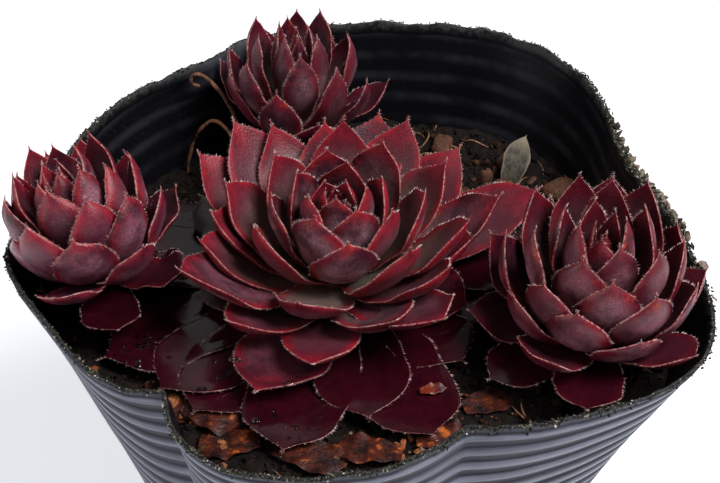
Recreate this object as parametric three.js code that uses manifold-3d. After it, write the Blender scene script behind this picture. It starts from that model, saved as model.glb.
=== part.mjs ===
/*
 * Potted houseleek: one large dark red rosette with three offsets, in a soft black film pot.
 *
 * Millimetres, +Z up. The origin is the centre of the pot's underside and -Y is the front.
 * Each mesh is one physical piece. Where two pieces meet they keep a small clear gap.
 */
import * as THREE from "three";
import { mergeVertices } from "three/addons/utils/BufferGeometryUtils.js";
import Module from "manifold-3d";

const wasm = await Module();
wasm.setup();

// ------------------------------------------------------------------ driving dimensions

const SEAT = 0.35; // clear gap between pieces that touch
const GOLDEN_ANGLE = 137.508; // degrees from one leaf to the next, as the plant grows them

// The pot is thin plastic film: a flat base, a steep lower wall and an open flare above the knee.
const POT = {
  baseRadius: 31,
  kneeShare: 0.42, // height of the knee over the height of the rim
  kneeRadius: 36.5,
  flarePower: 1.1,
  rimRadius: 49.5,
  frontHeight: 84,
  backRise: 10, // the rim stands this much higher at the back than at the front
  wall: 0.8,
  floor: 1.2,
  ribs: 8,
  ribRelief: 0.5,
  sectors: 40,
  drainHoles: 6,
  drainHoleRadius: 3,
  drainHoleRing: 20,
};

// Where the soft wall bulges (+) or is dented (-). Sharpness 2 is a round swell and 1 is a crease.
const PUSHES = [
  { azimuth: -169, push: 5.2, halfWidth: 15, sharpness: 2 },
  { azimuth: -127, push: -8.5, halfWidth: 9, sharpness: 1.15 },
  { azimuth: -116, push: 5.9, halfWidth: 28, sharpness: 2 },
  { azimuth: -71, push: -4.2, halfWidth: 9, sharpness: 1.4 },
  { azimuth: -32, push: 8.8, halfWidth: 19, sharpness: 2 },
  { azimuth: 17, push: -4.5, halfWidth: 17, sharpness: 2 },
  { azimuth: 56, push: 4.2, halfWidth: 23, sharpness: 2 },
  { azimuth: 128, push: -2.5, halfWidth: 12, sharpness: 2 },
];

const SOIL = {
  level: 76, // mean height of the surface
  swell: 0.5, // most that the surface stands above its mean
  wallGap: 1.1,
  rings: 4,
};
const OLD_LEAF = 0.6; // a leaf blunter than this is an old one that lies flat
const CURVED_LEAF = 40; // a leaf that bends by more degrees than this has one more ring
const LEAF_FLOOR = SOIL.level + SOIL.swell + 0.5; // no leaf dips below this height
const WALL_CLEARANCE = 0.8; // leaf to the inside of the pot
const NEIGHBOUR_CLEARANCE = 0.4; // leaf to the space of the next rosette
const STEM_CLEARANCE = 1.2; // leaf that passes under another rosette to that one's stem
const GLOBE_SAG = 0.85; // heights below a globe's middle count this much

const STEM = { sunk: 10, hole: 0.4, sides: 10 };

// How a leaf changes from the oldest, outermost one (age 0) to the bud (age 1). Angles are above
// the horizontal, blunt is 1 for a broad rounded leaf and 0 for a slim pointed one.
const MOTHER_LEAVES = [
  { age: 0, rootAngle: 0, tipAngle: 0, length: 41, width: 15.5, rootHeight: 1.6, blunt: 1 },
  { age: 0.1, rootAngle: 0, tipAngle: 0, length: 41, width: 15.5, rootHeight: 1.6, blunt: 1 },
  { age: 0.18, rootAngle: 0, tipAngle: 2, length: 38, width: 15.2, rootHeight: 1.7, blunt: 0.97 },
  { age: 0.24, rootAngle: 0, tipAngle: 6, length: 33.5, width: 14.8, rootHeight: 2, blunt: 0.85 },
  { age: 0.3, rootAngle: 0, tipAngle: 20, length: 32, width: 13.8, rootHeight: 2.5, blunt: 0.65 },
  { age: 0.36, rootAngle: 0, tipAngle: 33, length: 31, width: 12.8, rootHeight: 2.9, blunt: 0.5 },
  { age: 0.46, rootAngle: 1, tipAngle: 47, length: 28, width: 12, rootHeight: 3.3, blunt: 0.4 },
  { age: 0.54, rootAngle: 3, tipAngle: 57, length: 27, width: 11.6, rootHeight: 3.6, blunt: 0.35 },
  { age: 0.61, rootAngle: 7, tipAngle: 66, length: 25.5, width: 11.2, rootHeight: 3.8, blunt: 0.35 },
  { age: 0.68, rootAngle: 22, tipAngle: 82, length: 23, width: 11, rootHeight: 4, blunt: 0.35 },
  { age: 0.75, rootAngle: 34, tipAngle: 90, length: 21.5, width: 10.6, rootHeight: 4.1, blunt: 0.35 },
  { age: 0.86, rootAngle: 56, tipAngle: 96, length: 18.5, width: 9.5, rootHeight: 4.4, blunt: 0.3 },
  { age: 0.94, rootAngle: 76, tipAngle: 96, length: 17.5, width: 7.5, rootHeight: 4.6, blunt: 0.2 },
  { age: 1, rootAngle: 86, tipAngle: 94, length: 15, width: 4.5, rootHeight: 5, blunt: 0 },
];
const OFFSET_LEAVES = [
  { age: 0, rootAngle: -3, tipAngle: -4, length: 17, width: 9.2, rootHeight: 0.6, blunt: 0.95 },
  { age: 0.1, rootAngle: -1, tipAngle: 6, length: 16.5, width: 9.2, rootHeight: 0.9, blunt: 0.8 },
  { age: 0.2, rootAngle: 2, tipAngle: 42, length: 16.5, width: 9.2, rootHeight: 1.4, blunt: 0.5 },
  { age: 0.32, rootAngle: 4, tipAngle: 76, length: 17.5, width: 9.2, rootHeight: 2, blunt: 0.4 },
  { age: 0.46, rootAngle: 8, tipAngle: 96, length: 19, width: 8.8, rootHeight: 2.6, blunt: 0.35 },
  { age: 0.6, rootAngle: 20, tipAngle: 102, length: 19.5, width: 8.2, rootHeight: 3.2, blunt: 0.3 },
  { age: 0.76, rootAngle: 44, tipAngle: 104, length: 19, width: 7.4, rootHeight: 3.8, blunt: 0.25 },
  { age: 0.9, rootAngle: 70, tipAngle: 100, length: 17.5, width: 5.8, rootHeight: 4.2, blunt: 0.15 },
  { age: 1, rootAngle: 86, tipAngle: 94, length: 15, width: 3.5, rootHeight: 4.6, blunt: 0 },
];

// The rosettes. Each offset keeps inside its own globe, drawn out a little below its middle, and
// above its foot. The others keep out of that space, but may pass below it, clear of the stem.
const ROSETTES = [
  {
    name: "mother",
    base: [-3.5, -3, 76.5],
    stemRadius: 4,
    leanTowards: 270,
    lean: 8,
    leaves: 68,
    firstAzimuth: 239,
    seed: 1,
    scale: 1,
    slim: 1, // width of its leaves over the width in the table
    longestTowards: 235, // the old flat leaves are longest where the pot leaves them room
    farSideShortening: 0.35, // and shorter by up to this share on the far side
    tallerTowards: 0,
    shortSide: 0,
    stages: MOTHER_LEAVES,
  },
  {
    name: "left",
    base: [-40.5, -7, 80.6],
    stemRadius: 2.5,
    leanTowards: 145,
    lean: 20,
    leaves: 40,
    firstAzimuth: 17,
    seed: 5,
    scale: 1.05,
    slim: 1,
    longestTowards: 0,
    farSideShortening: 0,
    tallerTowards: 70, // the young leaves are longest on this side
    shortSide: 0.15, // and shorter by up to this share on the other
    stages: OFFSET_LEAVES,
    globe: { centre: [-42, -5.5, 91], radius: 18.5 },
    foot: 79.8,
  },
  {
    name: "right",
    base: [34.5, -20, 80],
    stemRadius: 2.5,
    leanTowards: 270,
    lean: 0,
    leaves: 42,
    firstAzimuth: 75,
    seed: 9,
    scale: 1.18,
    slim: 1,
    longestTowards: 0,
    farSideShortening: 0,
    tallerTowards: 90,
    shortSide: 0.22,
    stages: OFFSET_LEAVES,
    globe: { centre: [34.5, -22, 92], radius: 20.5 },
    foot: 79,
  },
  {
    name: "back",
    base: [-11, 31, 82],
    stemRadius: 2.5,
    leanTowards: 90,
    lean: 3,
    leaves: 32,
    firstAzimuth: 132,
    seed: 13,
    scale: 1,
    slim: 0.8,
    longestTowards: 0,
    farSideShortening: 0,
    tallerTowards: 0,
    shortSide: 0,
    stages: OFFSET_LEAVES,
    globe: { centre: [-11, 31, 93.5], radius: 17 },
    foot: 79,
  },
];

// Stolons: the buried runners through which the mother feeds each offset.
const STOLON = { radius: 1.1, height: 72, sides: 8 };

// Dry runners that have lost their offset and curl in the air beside the back rosette.
const RUNNER = { radius: 0.4, sides: 6, clearance: 2.2 };
const RUNNERS = [
  {
    name: "dry_runner_curl",
    steps: 16,
    points: [
      [-18.8, 27.8, 72],
      [-18.8, 27.8, 77.5],
      [-20.5, 29.5, 84],
      [-23, 31, 89.5],
      [-26, 32, 93],
      [-28.2, 32.3, 93.4],
      [-28.6, 32.4, 91.8],
      [-27.2, 32.2, 91.2],
    ],
  },
  {
    name: "dry_runner_arch",
    steps: 12,
    points: [
      [-20, 25, 72],
      [-20, 25, 77.5],
      [-21.5, 27, 83.5],
      [-24.5, 28.8, 86.4],
      [-27.6, 29.2, 84],
      [-29.8, 29, 78],
      [-29.8, 28.9, 73],
    ],
  },
];

// Bark chips of the compost: centre, half sizes, turn about Z and tilt, in degrees.
const CHIPS = [
  { centre: [-19.6, -31.7, 75.8], half: [2.6, 1.8, 0.9], turn: 30, tilt: 4 },
  { centre: [-4.2, -41, 76], half: [3.2, 1.7, 1], turn: -8, tilt: 0 },
  { centre: [-27.4, -29.8, 76.2], half: [1.6, 1.2, 1], turn: 60, tilt: 0 },
  { centre: [21.2, 21.7, 78.4], half: [1.2, 0.9, 3.6], turn: 20, tilt: 12 },
  { centre: [34, 22, 76.8], half: [3.4, 2.2, 1.6], turn: 40, tilt: -10 },
  { centre: [36.5, 9.5, 76.6], half: [2.8, 2, 1.4], turn: -20, tilt: 10 },
  { centre: [14.5, 35.5, 76.6], half: [3, 1.8, 1.3], turn: 75, tilt: 6 },
  { centre: [-27.6, 10.5, 76.2], half: [1.8, 1.4, 1.1], turn: 15, tilt: 0 },
  { centre: [26, 30, 76.6], half: [2.4, 1.8, 1.4], turn: -50, tilt: 12 },
];

// Leaves that have dropped off: a dry curled one that stands and a limp red one that lies.
const FALLEN_LEAVES = [
  {
    name: "dry_leaf",
    foot: [25.4, 24.2, 74.6],
    azimuth: 60,
    leaf: { rootAngle: 78, tipAngle: 20, length: 11, width: 5, blunt: 0.2, roll: 20 },
  },
  {
    name: "fallen_leaf",
    foot: [24.6, 12.4, 77.1],
    azimuth: 42,
    leaf: { rootAngle: 8, tipAngle: -12, length: 10, width: 7, blunt: 0.6, roll: 3 },
  },
];

const COLOURS = {
  film: { color: 0x15171b, roughness: 0.42 },
  compost: { color: 0x2a1d14, roughness: 0.95 },
  redLeaf: { color: 0x5e161c, roughness: 0.5 },
  root: { color: 0x8a6a4a, roughness: 0.8 },
  dryRunner: { color: 0xa8602c, roughness: 0.7 },
  bark: { color: 0x9a4a1c, roughness: 0.85 },
  dryLeaf: { color: 0x9a9078, roughness: 0.8 },
};

// ------------------------------------------------------------------ shared geometry

const radians = THREE.MathUtils.degToRad;

/* A number from 0 to 1 that depends only on its two whole arguments. */
function draw(index, stream) {
  const value = Math.sin(index * 12.9898 + stream * 78.233) * 43758.5453;
  return value - Math.floor(value);
}

/* A draw spread evenly about zero, from -reach to +reach. */
function spread(index, stream, reach) {
  return 2 * reach * (draw(index, stream) - 0.5);
}

function centreOf(ring) {
  const sum = ring.reduce((total, point) => total.add(point), new THREE.Vector3());
  return sum.divideScalar(ring.length);
}

/* Closes a run of rings into one skin, with a fan from a point over each end. */
function skin(rings, start = centreOf(rings[0]), end = centreOf(rings.at(-1))) {
  const sides = rings[0].length;
  const points = rings.flat();
  const faces = [];
  const startIndex = points.push(start) - 1;
  const endIndex = points.push(end) - 1;
  const lastRing = (rings.length - 1) * sides;
  for (let side = 0; side < sides; side++) {
    const next = (side + 1) % sides;
    for (let low = 0; low < lastRing; low += sides) {
      const high = low + sides;
      faces.push(low + side, low + next, high + next);
      faces.push(low + side, high + next, high + side);
    }
    faces.push(startIndex, next, side);
    faces.push(endIndex, lastRing + side, lastRing + next);
  }
  const geometry = new THREE.BufferGeometry().setFromPoints(points);
  geometry.setIndex(faces);
  return geometry;
}

/* The manifold solid of a closed geometry. */
function solidOf(geometry) {
  const bare = new THREE.BufferGeometry();
  bare.setAttribute("position", geometry.getAttribute("position"));
  bare.setIndex(geometry.getIndex());
  const merged = mergeVertices(bare, 1e-4);
  return new wasm.Manifold(
    new wasm.Mesh({
      numProp: 3,
      vertProperties: merged.attributes.position.array,
      triVerts: Uint32Array.from(merged.index.array),
    }),
  );
}

/* The geometry of a manifold solid. */
function geometryOf(solid) {
  const mesh = solid.getMesh();
  const geometry = new THREE.BufferGeometry();
  geometry.setAttribute("position", new THREE.BufferAttribute(mesh.vertProperties, 3));
  geometry.setIndex(new THREE.BufferAttribute(mesh.triVerts, 1));
  geometry.computeVertexNormals();
  return geometry;
}

/* Joins overlapping solids into one, fills what they seal off and drops loose scraps. */
function fused(solids) {
  const bodies = wasm.Manifold.union(solids).simplify(0.12).decompose();
  return bodies.reduce((largest, body) => (body.volume() > largest.volume() ? body : largest));
}

/* An upright round rod between two heights. */
function rod(x, y, bottom, top, radius, sides = 12) {
  const geometry = new THREE.CylinderGeometry(radius, radius, top - bottom, sides);
  geometry.rotateX(Math.PI / 2);
  geometry.translate(x, y, (bottom + top) / 2);
  return solidOf(geometry);
}

/* A round cord of the given radius along a smooth curve through the points. */
function cord(points, radius, sides, steps) {
  const curve = new THREE.CatmullRomCurve3(points.map((point) => new THREE.Vector3(...point)));
  const circle = new THREE.Shape();
  for (let side = 0; side < sides; side++) {
    const angle = (side / sides) * 2 * Math.PI;
    const x = radius * Math.cos(angle);
    const y = radius * Math.sin(angle);
    if (side === 0) circle.moveTo(x, y);
    else circle.lineTo(x, y);
  }
  const options = { steps, extrudePath: curve, bevelEnabled: false };
  return solidOf(new THREE.ExtrudeGeometry(circle, options));
}

function piece(name, solid, colour) {
  const material = new THREE.MeshStandardMaterial({ metalness: 0, ...colour });
  const mesh = new THREE.Mesh(geometryOf(solid), material);
  mesh.name = name;
  return mesh;
}

// ------------------------------------------------------------------ pot

function rimRadius(azimuth) {
  const degrees = THREE.MathUtils.radToDeg(azimuth);
  return PUSHES.reduce((radius, dent) => {
    const away = THREE.MathUtils.euclideanModulo(degrees - dent.azimuth + 180, 360) - 180;
    const fall = Math.abs(away / dent.halfWidth) ** dent.sharpness;
    return radius + dent.push * Math.exp(-fall);
  }, POT.rimRadius);
}

function rimHeight(azimuth) {
  return POT.frontHeight + POT.backRise * (0.5 + 0.5 * Math.sin(azimuth));
}

/* Outside radius of the plain wall at a share of the rim's height. */
function wallRadius(azimuth, share) {
  if (share < POT.kneeShare) {
    return POT.baseRadius + (POT.kneeRadius - POT.baseRadius) * (share / POT.kneeShare);
  }
  const flare = Math.min((share - POT.kneeShare) / (1 - POT.kneeShare), 1.2);
  return POT.kneeRadius + (rimRadius(azimuth) - POT.kneeRadius) * flare ** POT.flarePower;
}

/* Inside radius of the wall at a height. */
function innerRadius(azimuth, height) {
  return wallRadius(azimuth, height / rimHeight(azimuth)) - POT.wall;
}

/* One ring of the pot or the soil: radius and height are functions of the azimuth. */
function potRing(radius, height) {
  return Array.from({ length: POT.sectors }, (_, sector) => {
    const azimuth = (sector / POT.sectors) * 2 * Math.PI - Math.PI;
    const r = radius(azimuth);
    return new THREE.Vector3(r * Math.cos(azimuth), r * Math.sin(azimuth), height(azimuth));
  });
}

function makePot() {
  const rings = [];
  const levels = 2 * POT.ribs;
  for (let level = 0; level <= levels; level++) {
    const share = level / levels;
    const relief = level % 2 ? POT.ribRelief : 0;
    rings.push(
      potRing(
        (azimuth) => wallRadius(azimuth, share) + relief,
        (azimuth) => rimHeight(azimuth) * share,
      ),
    );
  }
  for (const share of [1, 0.75, 0.6, POT.kneeShare]) {
    rings.push(
      potRing(
        (azimuth) => wallRadius(azimuth, share) - POT.wall,
        (azimuth) => rimHeight(azimuth) * share,
      ),
    );
  }
  rings.push(
    potRing(
      (azimuth) => innerRadius(azimuth, POT.floor),
      () => POT.floor,
    ),
  );
  let pot = solidOf(skin(rings));
  for (let hole = 0; hole < POT.drainHoles; hole++) {
    const azimuth = (hole / POT.drainHoles) * 2 * Math.PI;
    const x = POT.drainHoleRing * Math.cos(azimuth);
    const y = POT.drainHoleRing * Math.sin(azimuth);
    pot = pot.subtract(rod(x, y, -1, POT.floor + 1, POT.drainHoleRadius));
  }
  return pot;
}

// ------------------------------------------------------------------ leaves

/* Where along its length a leaf is widest. */
function shoulderOf(blunt) {
  return 0.56 + 0.12 * blunt;
}

/* Half width of a leaf over its greatest: a foot that widens to the shoulder, a blade, a cusp. */
function outline(share, blunt) {
  const shoulder = shoulderOf(blunt);
  if (share < shoulder) return 0.5 + 0.5 * Math.sin((Math.PI / 2) * (share / shoulder));
  const closing = Math.min((share - shoulder) / (0.9 + 0.05 * blunt - shoulder), 1);
  const blade = Math.cos((Math.PI / 2) * closing ** (1.1 + 1.35 * blunt));
  const cusp = (1 - share) / (1 - shoulder);
  const cuspShare = 0.42 - 0.3 * blunt;
  return (1 - cuspShare) * blade + cuspShare * cusp;
}

/*
 * A point on a leaf that grows along +X. Its midrib is an arc from the root angle to the tip
 * angle, and its section is a fat crescent: thin above, keeled below, with raised margins.
 */
function leafPoint(leaf, share, around) {
  const rootAngle = radians(leaf.rootAngle);
  const bend = radians(leaf.tipAngle) - rootAngle || 1e-6;
  const angle = rootAngle + bend * share;
  const x = leaf.rootRadius + (leaf.length * (Math.sin(angle) - Math.sin(rootAngle))) / bend;
  const z = leaf.rootHeight - (leaf.length * (Math.cos(angle) - Math.cos(rootAngle))) / bend;
  const fullness = outline(share, leaf.blunt);
  const halfWidth = (leaf.width / 2) * fullness;
  const edgeward = Math.cos(around);
  const upward = Math.sin(around);
  const thinning = THREE.MathUtils.clamp((1 - share) * 6, 0.02, 1) ** 0.5;
  const thickness = leaf.thickness * (0.35 + 0.65 * fullness) * thinning;
  const face = upward > 0 ? 0.25 * upward : -0.75 * Math.abs(upward) ** 0.9;
  const cup = (0.3 - 0.22 * leaf.blunt) * halfWidth * edgeward ** 2;
  const roll = radians(leaf.roll);
  const across = halfWidth * edgeward;
  const off = thickness * face + cup;
  const y = across * Math.cos(roll) - off * Math.sin(roll);
  const lift = across * Math.sin(roll) + off * Math.cos(roll);
  return new THREE.Vector3(x - Math.sin(angle) * lift, y, z + Math.cos(angle) * lift);
}

/* Greatest thickness of a leaf: large old flat leaves are thinner for their width. */
function leafThickness(width, blunt) {
  return 2.1 * Math.sqrt(width / 12) * (1 - 0.5 * blunt);
}

const QUARTERS = [0, 0.5 * Math.PI, Math.PI, 1.5 * Math.PI];

/* The closed solid of a leaf, placed by a matrix. */
function leafSolid(leaf, matrix) {
  const shoulder = shoulderOf(leaf.blunt);
  const isCurved = leaf.tipAngle - leaf.rootAngle > CURVED_LEAF;
  const shares = isCurved ? [0, shoulder / 2, shoulder, 0.86] : [0, shoulder, 0.86];
  const rings = shares.map((share) =>
    QUARTERS.map((around) => leafPoint(leaf, share, around).applyMatrix4(matrix)),
  );
  const tip = leafPoint(leaf, 1, QUARTERS[3]).applyMatrix4(matrix);
  return solidOf(skin(rings, undefined, tip));
}

/* The leaf of a given age, between the two nearest stages. */
function stageAt(stages, age) {
  const next = Math.max(1, stages.findIndex((stage) => stage.age >= age));
  const [young, old] = [stages[next], stages[next - 1]];
  const mix = (age - old.age) / (young.age - old.age);
  const blend = (key) => old[key] + (young[key] - old[key]) * mix;
  return {
    rootAngle: blend("rootAngle"),
    tipAngle: blend("tipAngle"),
    length: blend("length"),
    width: blend("width"),
    rootHeight: blend("rootHeight"),
    blunt: blend("blunt"),
  };
}

// ------------------------------------------------------------------ rosettes

const PROBES = [0.35, 0.5, 0.6, 0.7, 0.8, 0.9, 1];

/* Marks along a dry runner, four to each stretch between its listed points. */
function marksAlong({ points }) {
  const corners = points.map((point) => new THREE.Vector3(...point));
  return corners.slice(1).flatMap((corner, index) =>
    [0, 0.25, 0.5, 0.75].map((mix) => corners[index].clone().lerp(corner, mix)),
  );
}

const runnerMarks = RUNNERS.flatMap(marksAlong);

/* Whether a point of a leaf stays inside its own space and out of everything else's. */
function isFree(point, rosette) {
  const azimuth = Math.atan2(point.y, point.x);
  const radius = Math.hypot(point.x, point.y);
  const besideWall = point.z < rimHeight(azimuth) + 1;
  if (besideWall && radius > innerRadius(azimuth, point.z) - WALL_CLEARANCE) return false;
  if (point.z < LEAF_FLOOR) return false;
  for (const other of ROSETTES.filter((candidate) => candidate.globe)) {
    const { centre, radius: reach } = other.globe;
    const rise = point.z - centre[2];
    const drop = rise < 0 ? GLOBE_SAG * rise : rise;
    const distance = Math.hypot(point.x - centre[0], point.y - centre[1], drop);
    if (other === rosette) {
      if (distance > reach || point.z < other.foot) return false;
    } else {
      const stemDistance = Math.hypot(point.x - other.base[0], point.y - other.base[1]);
      const isAboveFoot = point.z > other.foot - NEIGHBOUR_CLEARANCE;
      if (isAboveFoot && distance < reach + NEIGHBOUR_CLEARANCE) return false;
      if (stemDistance < other.stemRadius + STEM_CLEARANCE) return false;
    }
  }
  return runnerMarks.every((mark) => mark.distanceTo(point) > RUNNER.clearance);
}

/* Tips a leaf up, then shortens it, until it is clear. Gives null where none would fit. */
function fitted(leaf, matrix, rosette) {
  let lift = 0;
  let share = 1;
  for (let attempt = 0; attempt < 40; attempt++) {
    const candidate = {
      ...leaf,
      rootAngle: leaf.rootAngle + lift,
      tipAngle: leaf.tipAngle + lift,
      length: leaf.length * share,
      width: leaf.width * (0.4 + 0.6 * share),
    };
    const clear = PROBES.every((probe) =>
      QUARTERS.every((around) =>
        isFree(leafPoint(candidate, probe, around).applyMatrix4(matrix), rosette),
      ),
    );
    if (clear) return share < 0.35 ? null : candidate;
    if (leaf.blunt > OLD_LEAF || lift >= 15) share *= 0.95;
    else lift += 3;
  }
  return null;
}

/* The matrix that sets a rosette on its base with a share of its lean. */
function rosetteMatrix(rosette, share) {
  const towards = radians(rosette.leanTowards);
  const axis = new THREE.Vector3(-Math.sin(towards), Math.cos(towards), 0);
  const matrix = new THREE.Matrix4().makeRotationAxis(axis, radians(rosette.lean) * share);
  return matrix.setPosition(...rosette.base);
}

/* The short fleshy stem that carries the leaves, and the neck that goes down into the soil. */
function rosetteCore(rosette) {
  const { stemRadius: radius, scale } = rosette;
  const profile = [
    [0, 0.2],
    [radius, 0.2],
    [1.5 * radius, 2 * scale],
    [1.3 * radius, 5 * scale],
    [0.5 * radius, 8 * scale],
    [0, 9 * scale],
  ].map((point) => new THREE.Vector2(...point));
  const bulb = new THREE.LatheGeometry(profile, STEM.sides);
  bulb.rotateX(Math.PI / 2);
  bulb.applyMatrix4(rosetteMatrix(rosette, 1));
  const [x, y, z] = rosette.base;
  return [solidOf(bulb), rod(x, y, SOIL.level - STEM.sunk, z + 1, radius, STEM.sides)];
}

/* How far a direction is from a side: 0 towards it and 1 on the opposite one. */
function awayFrom(side, turn) {
  return (1 - Math.cos(radians(turn - side))) / 2;
}

function makeRosette(rosette) {
  const { scale, seed } = rosette;
  const solids = rosetteCore(rosette);
  for (let index = 0; index < rosette.leaves; index++) {
    const age = (index + 0.5) / rosette.leaves;
    const stage = stageAt(rosette.stages, age);
    const turn = rosette.firstAzimuth + index * GOLDEN_ANGLE + spread(index, seed, 4.5);
    const young = 1 - stage.blunt;
    let shortening = rosette.shortSide * young * awayFrom(rosette.tallerTowards, turn);
    if (stage.blunt > OLD_LEAF) {
      shortening += rosette.farSideShortening * awayFrom(rosette.longestTowards, turn);
    }
    const width = stage.width * scale * rosette.slim * (1 + spread(index, seed + 5, 0.05));
    const loose = 1 - 0.8 * stage.blunt; // flat old leaves stray less from their angles
    const leaf = {
      rootRadius: rosette.stemRadius * (1 - 0.7 * age),
      rootHeight: stage.rootHeight * scale,
      rootAngle: stage.rootAngle + spread(index, seed + 1, 2.5) * loose,
      tipAngle: stage.tipAngle + spread(index, seed + 2, 4.5) * loose,
      length: stage.length * scale * (1 + spread(index, seed + 3, 0.06)) * (1 - shortening),
      width,
      thickness: leafThickness(width, stage.blunt),
      blunt: stage.blunt,
      roll: spread(index, seed + 4, 7) * loose,
    };
    const lean = rosetteMatrix(rosette, 1 - stage.blunt ** 2);
    const matrix = lean.multiply(new THREE.Matrix4().makeRotationZ(radians(turn)));
    const grown = fitted(leaf, matrix, rosette);
    if (grown) solids.push(leafSolid(grown, matrix));
  }
  return fused(solids);
}

// ------------------------------------------------------------------ small pieces

/* A rough chip, grown by an allowance where the soil is cut for it. */
function chipSolid(chip, index, allowance = 0) {
  const geometry = mergeVertices(
    new THREE.IcosahedronGeometry(1, 0).deleteAttribute("normal").deleteAttribute("uv"),
  );
  const position = geometry.getAttribute("position");
  for (let vertex = 0; vertex < position.count; vertex++) {
    const rough = 1 + spread(vertex, 40 + index, 0.18);
    position.setXYZ(
      vertex,
      position.getX(vertex) * rough,
      position.getY(vertex) * rough,
      position.getZ(vertex) * rough,
    );
  }
  geometry.scale(...chip.half.map((half) => half + allowance));
  geometry.rotateX(radians(chip.tilt));
  geometry.rotateZ(radians(chip.turn));
  geometry.translate(...chip.centre);
  return solidOf(geometry);
}

function fallenLeafSolid(fallen) {
  const leaf = { rootRadius: 0, rootHeight: 0, ...fallen.leaf };
  leaf.thickness = leafThickness(leaf.width, leaf.blunt);
  const matrix = new THREE.Matrix4().makeRotationZ(radians(fallen.azimuth));
  return leafSolid(leaf, matrix.setPosition(...fallen.foot));
}

/* The run of a stolon from the mother's stem to an offset's, short of both by the gap. */
function stolonEnds(rosette, gap) {
  const mother = ROSETTES[0];
  const from = new THREE.Vector3(mother.base[0], mother.base[1], STOLON.height);
  const to = new THREE.Vector3(rosette.base[0], rosette.base[1], STOLON.height);
  const along = to.clone().sub(from).normalize();
  from.addScaledVector(along, mother.stemRadius + gap);
  to.addScaledVector(along, -(rosette.stemRadius + gap));
  return [from.toArray(), to.toArray()];
}

// ------------------------------------------------------------------ soil

function soilHeight(x, y) {
  const broad = 0.35 * Math.sin(0.31 * x + 1) * Math.cos(0.27 * y);
  const fine = 0.15 * Math.sin(0.9 * x) * Math.sin(0.8 * y);
  return SOIL.level + broad + fine;
}

function makeSoil(chips) {
  const bottom = POT.floor + SEAT;
  const sideRadius = (azimuth, height) => innerRadius(azimuth, height) - SOIL.wallGap;
  const rings = [potRing((azimuth) => sideRadius(azimuth, bottom), () => bottom)];
  for (const share of [POT.kneeShare, 0.6, 0.75]) {
    const height = (azimuth) => rimHeight(azimuth) * share;
    rings.push(potRing((azimuth) => sideRadius(azimuth, height(azimuth)), height));
  }
  for (let ring = SOIL.rings; ring > 0; ring--) {
    const share = ring / SOIL.rings;
    const radius = (azimuth) => share * sideRadius(azimuth, SOIL.level);
    const height = (azimuth) =>
      soilHeight(radius(azimuth) * Math.cos(azimuth), radius(azimuth) * Math.sin(azimuth));
    rings.push(potRing(radius, height));
  }
  const cuts = [];
  for (const { base, stemRadius } of ROSETTES) {
    const depth = SOIL.level - STEM.sunk - SEAT;
    cuts.push(rod(base[0], base[1], depth, SOIL.level + 5, stemRadius + STEM.hole, 16));
  }
  for (const rosette of ROSETTES.slice(1)) {
    cuts.push(cord(stolonEnds(rosette, 0), STOLON.radius + SEAT, STOLON.sides, 1));
  }
  for (const runner of RUNNERS) {
    const ends = [runner.points[0], runner.points.at(-1)];
    for (const [x, y, z] of ends.filter((end) => end[2] < SOIL.level)) {
      cuts.push(rod(x, y, z - SEAT, SOIL.level + 3, RUNNER.radius + 2 * SEAT, 8));
    }
  }
  const [x, y, z] = FALLEN_LEAVES[0].foot;
  cuts.push(rod(x, y, z - 2, SOIL.level + 3, FALLEN_LEAVES[0].leaf.width / 2, 10));
  const tools = wasm.Manifold.union([...cuts, ...chips]);
  return fused([solidOf(skin(rings)).subtract(tools)]);
}

// ------------------------------------------------------------------ assembly

const houseleek = new THREE.Group();
houseleek.name = "potted_houseleek";

const pockets = CHIPS.map((chip, index) => chipSolid(chip, index, SEAT));
houseleek.add(piece("pot", makePot(), COLOURS.film));
houseleek.add(piece("soil", makeSoil(pockets), COLOURS.compost));

for (const rosette of ROSETTES) {
  houseleek.add(piece(`rosette_${rosette.name}`, makeRosette(rosette), COLOURS.redLeaf));
}
for (const rosette of ROSETTES.slice(1)) {
  const stolon = cord(stolonEnds(rosette, SEAT), STOLON.radius, STOLON.sides, 1);
  houseleek.add(piece(`stolon_${rosette.name}`, stolon, COLOURS.root));
}
for (const runner of RUNNERS) {
  const dry = cord(runner.points, RUNNER.radius, RUNNER.sides, runner.steps);
  houseleek.add(piece(runner.name, dry, COLOURS.dryRunner));
}
CHIPS.forEach((chip, index) => {
  houseleek.add(piece(`bark_chip_${index + 1}`, chipSolid(chip, index), COLOURS.bark));
});
for (const fallen of FALLEN_LEAVES) {
  const colour = fallen.name === "dry_leaf" ? COLOURS.dryLeaf : COLOURS.redLeaf;
  houseleek.add(piece(fallen.name, fallenLeafSolid(fallen), colour));
}

export default houseleek;
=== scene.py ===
"""Potted houseleek: the fine surfaces, materials, light and camera.

The frame is in metres, +Z up, with its origin under the middle of the pot and -Y in front.
Shapes below are worked out in millimetres and are divided by 1000 as they go into a mesh.
"""

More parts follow.
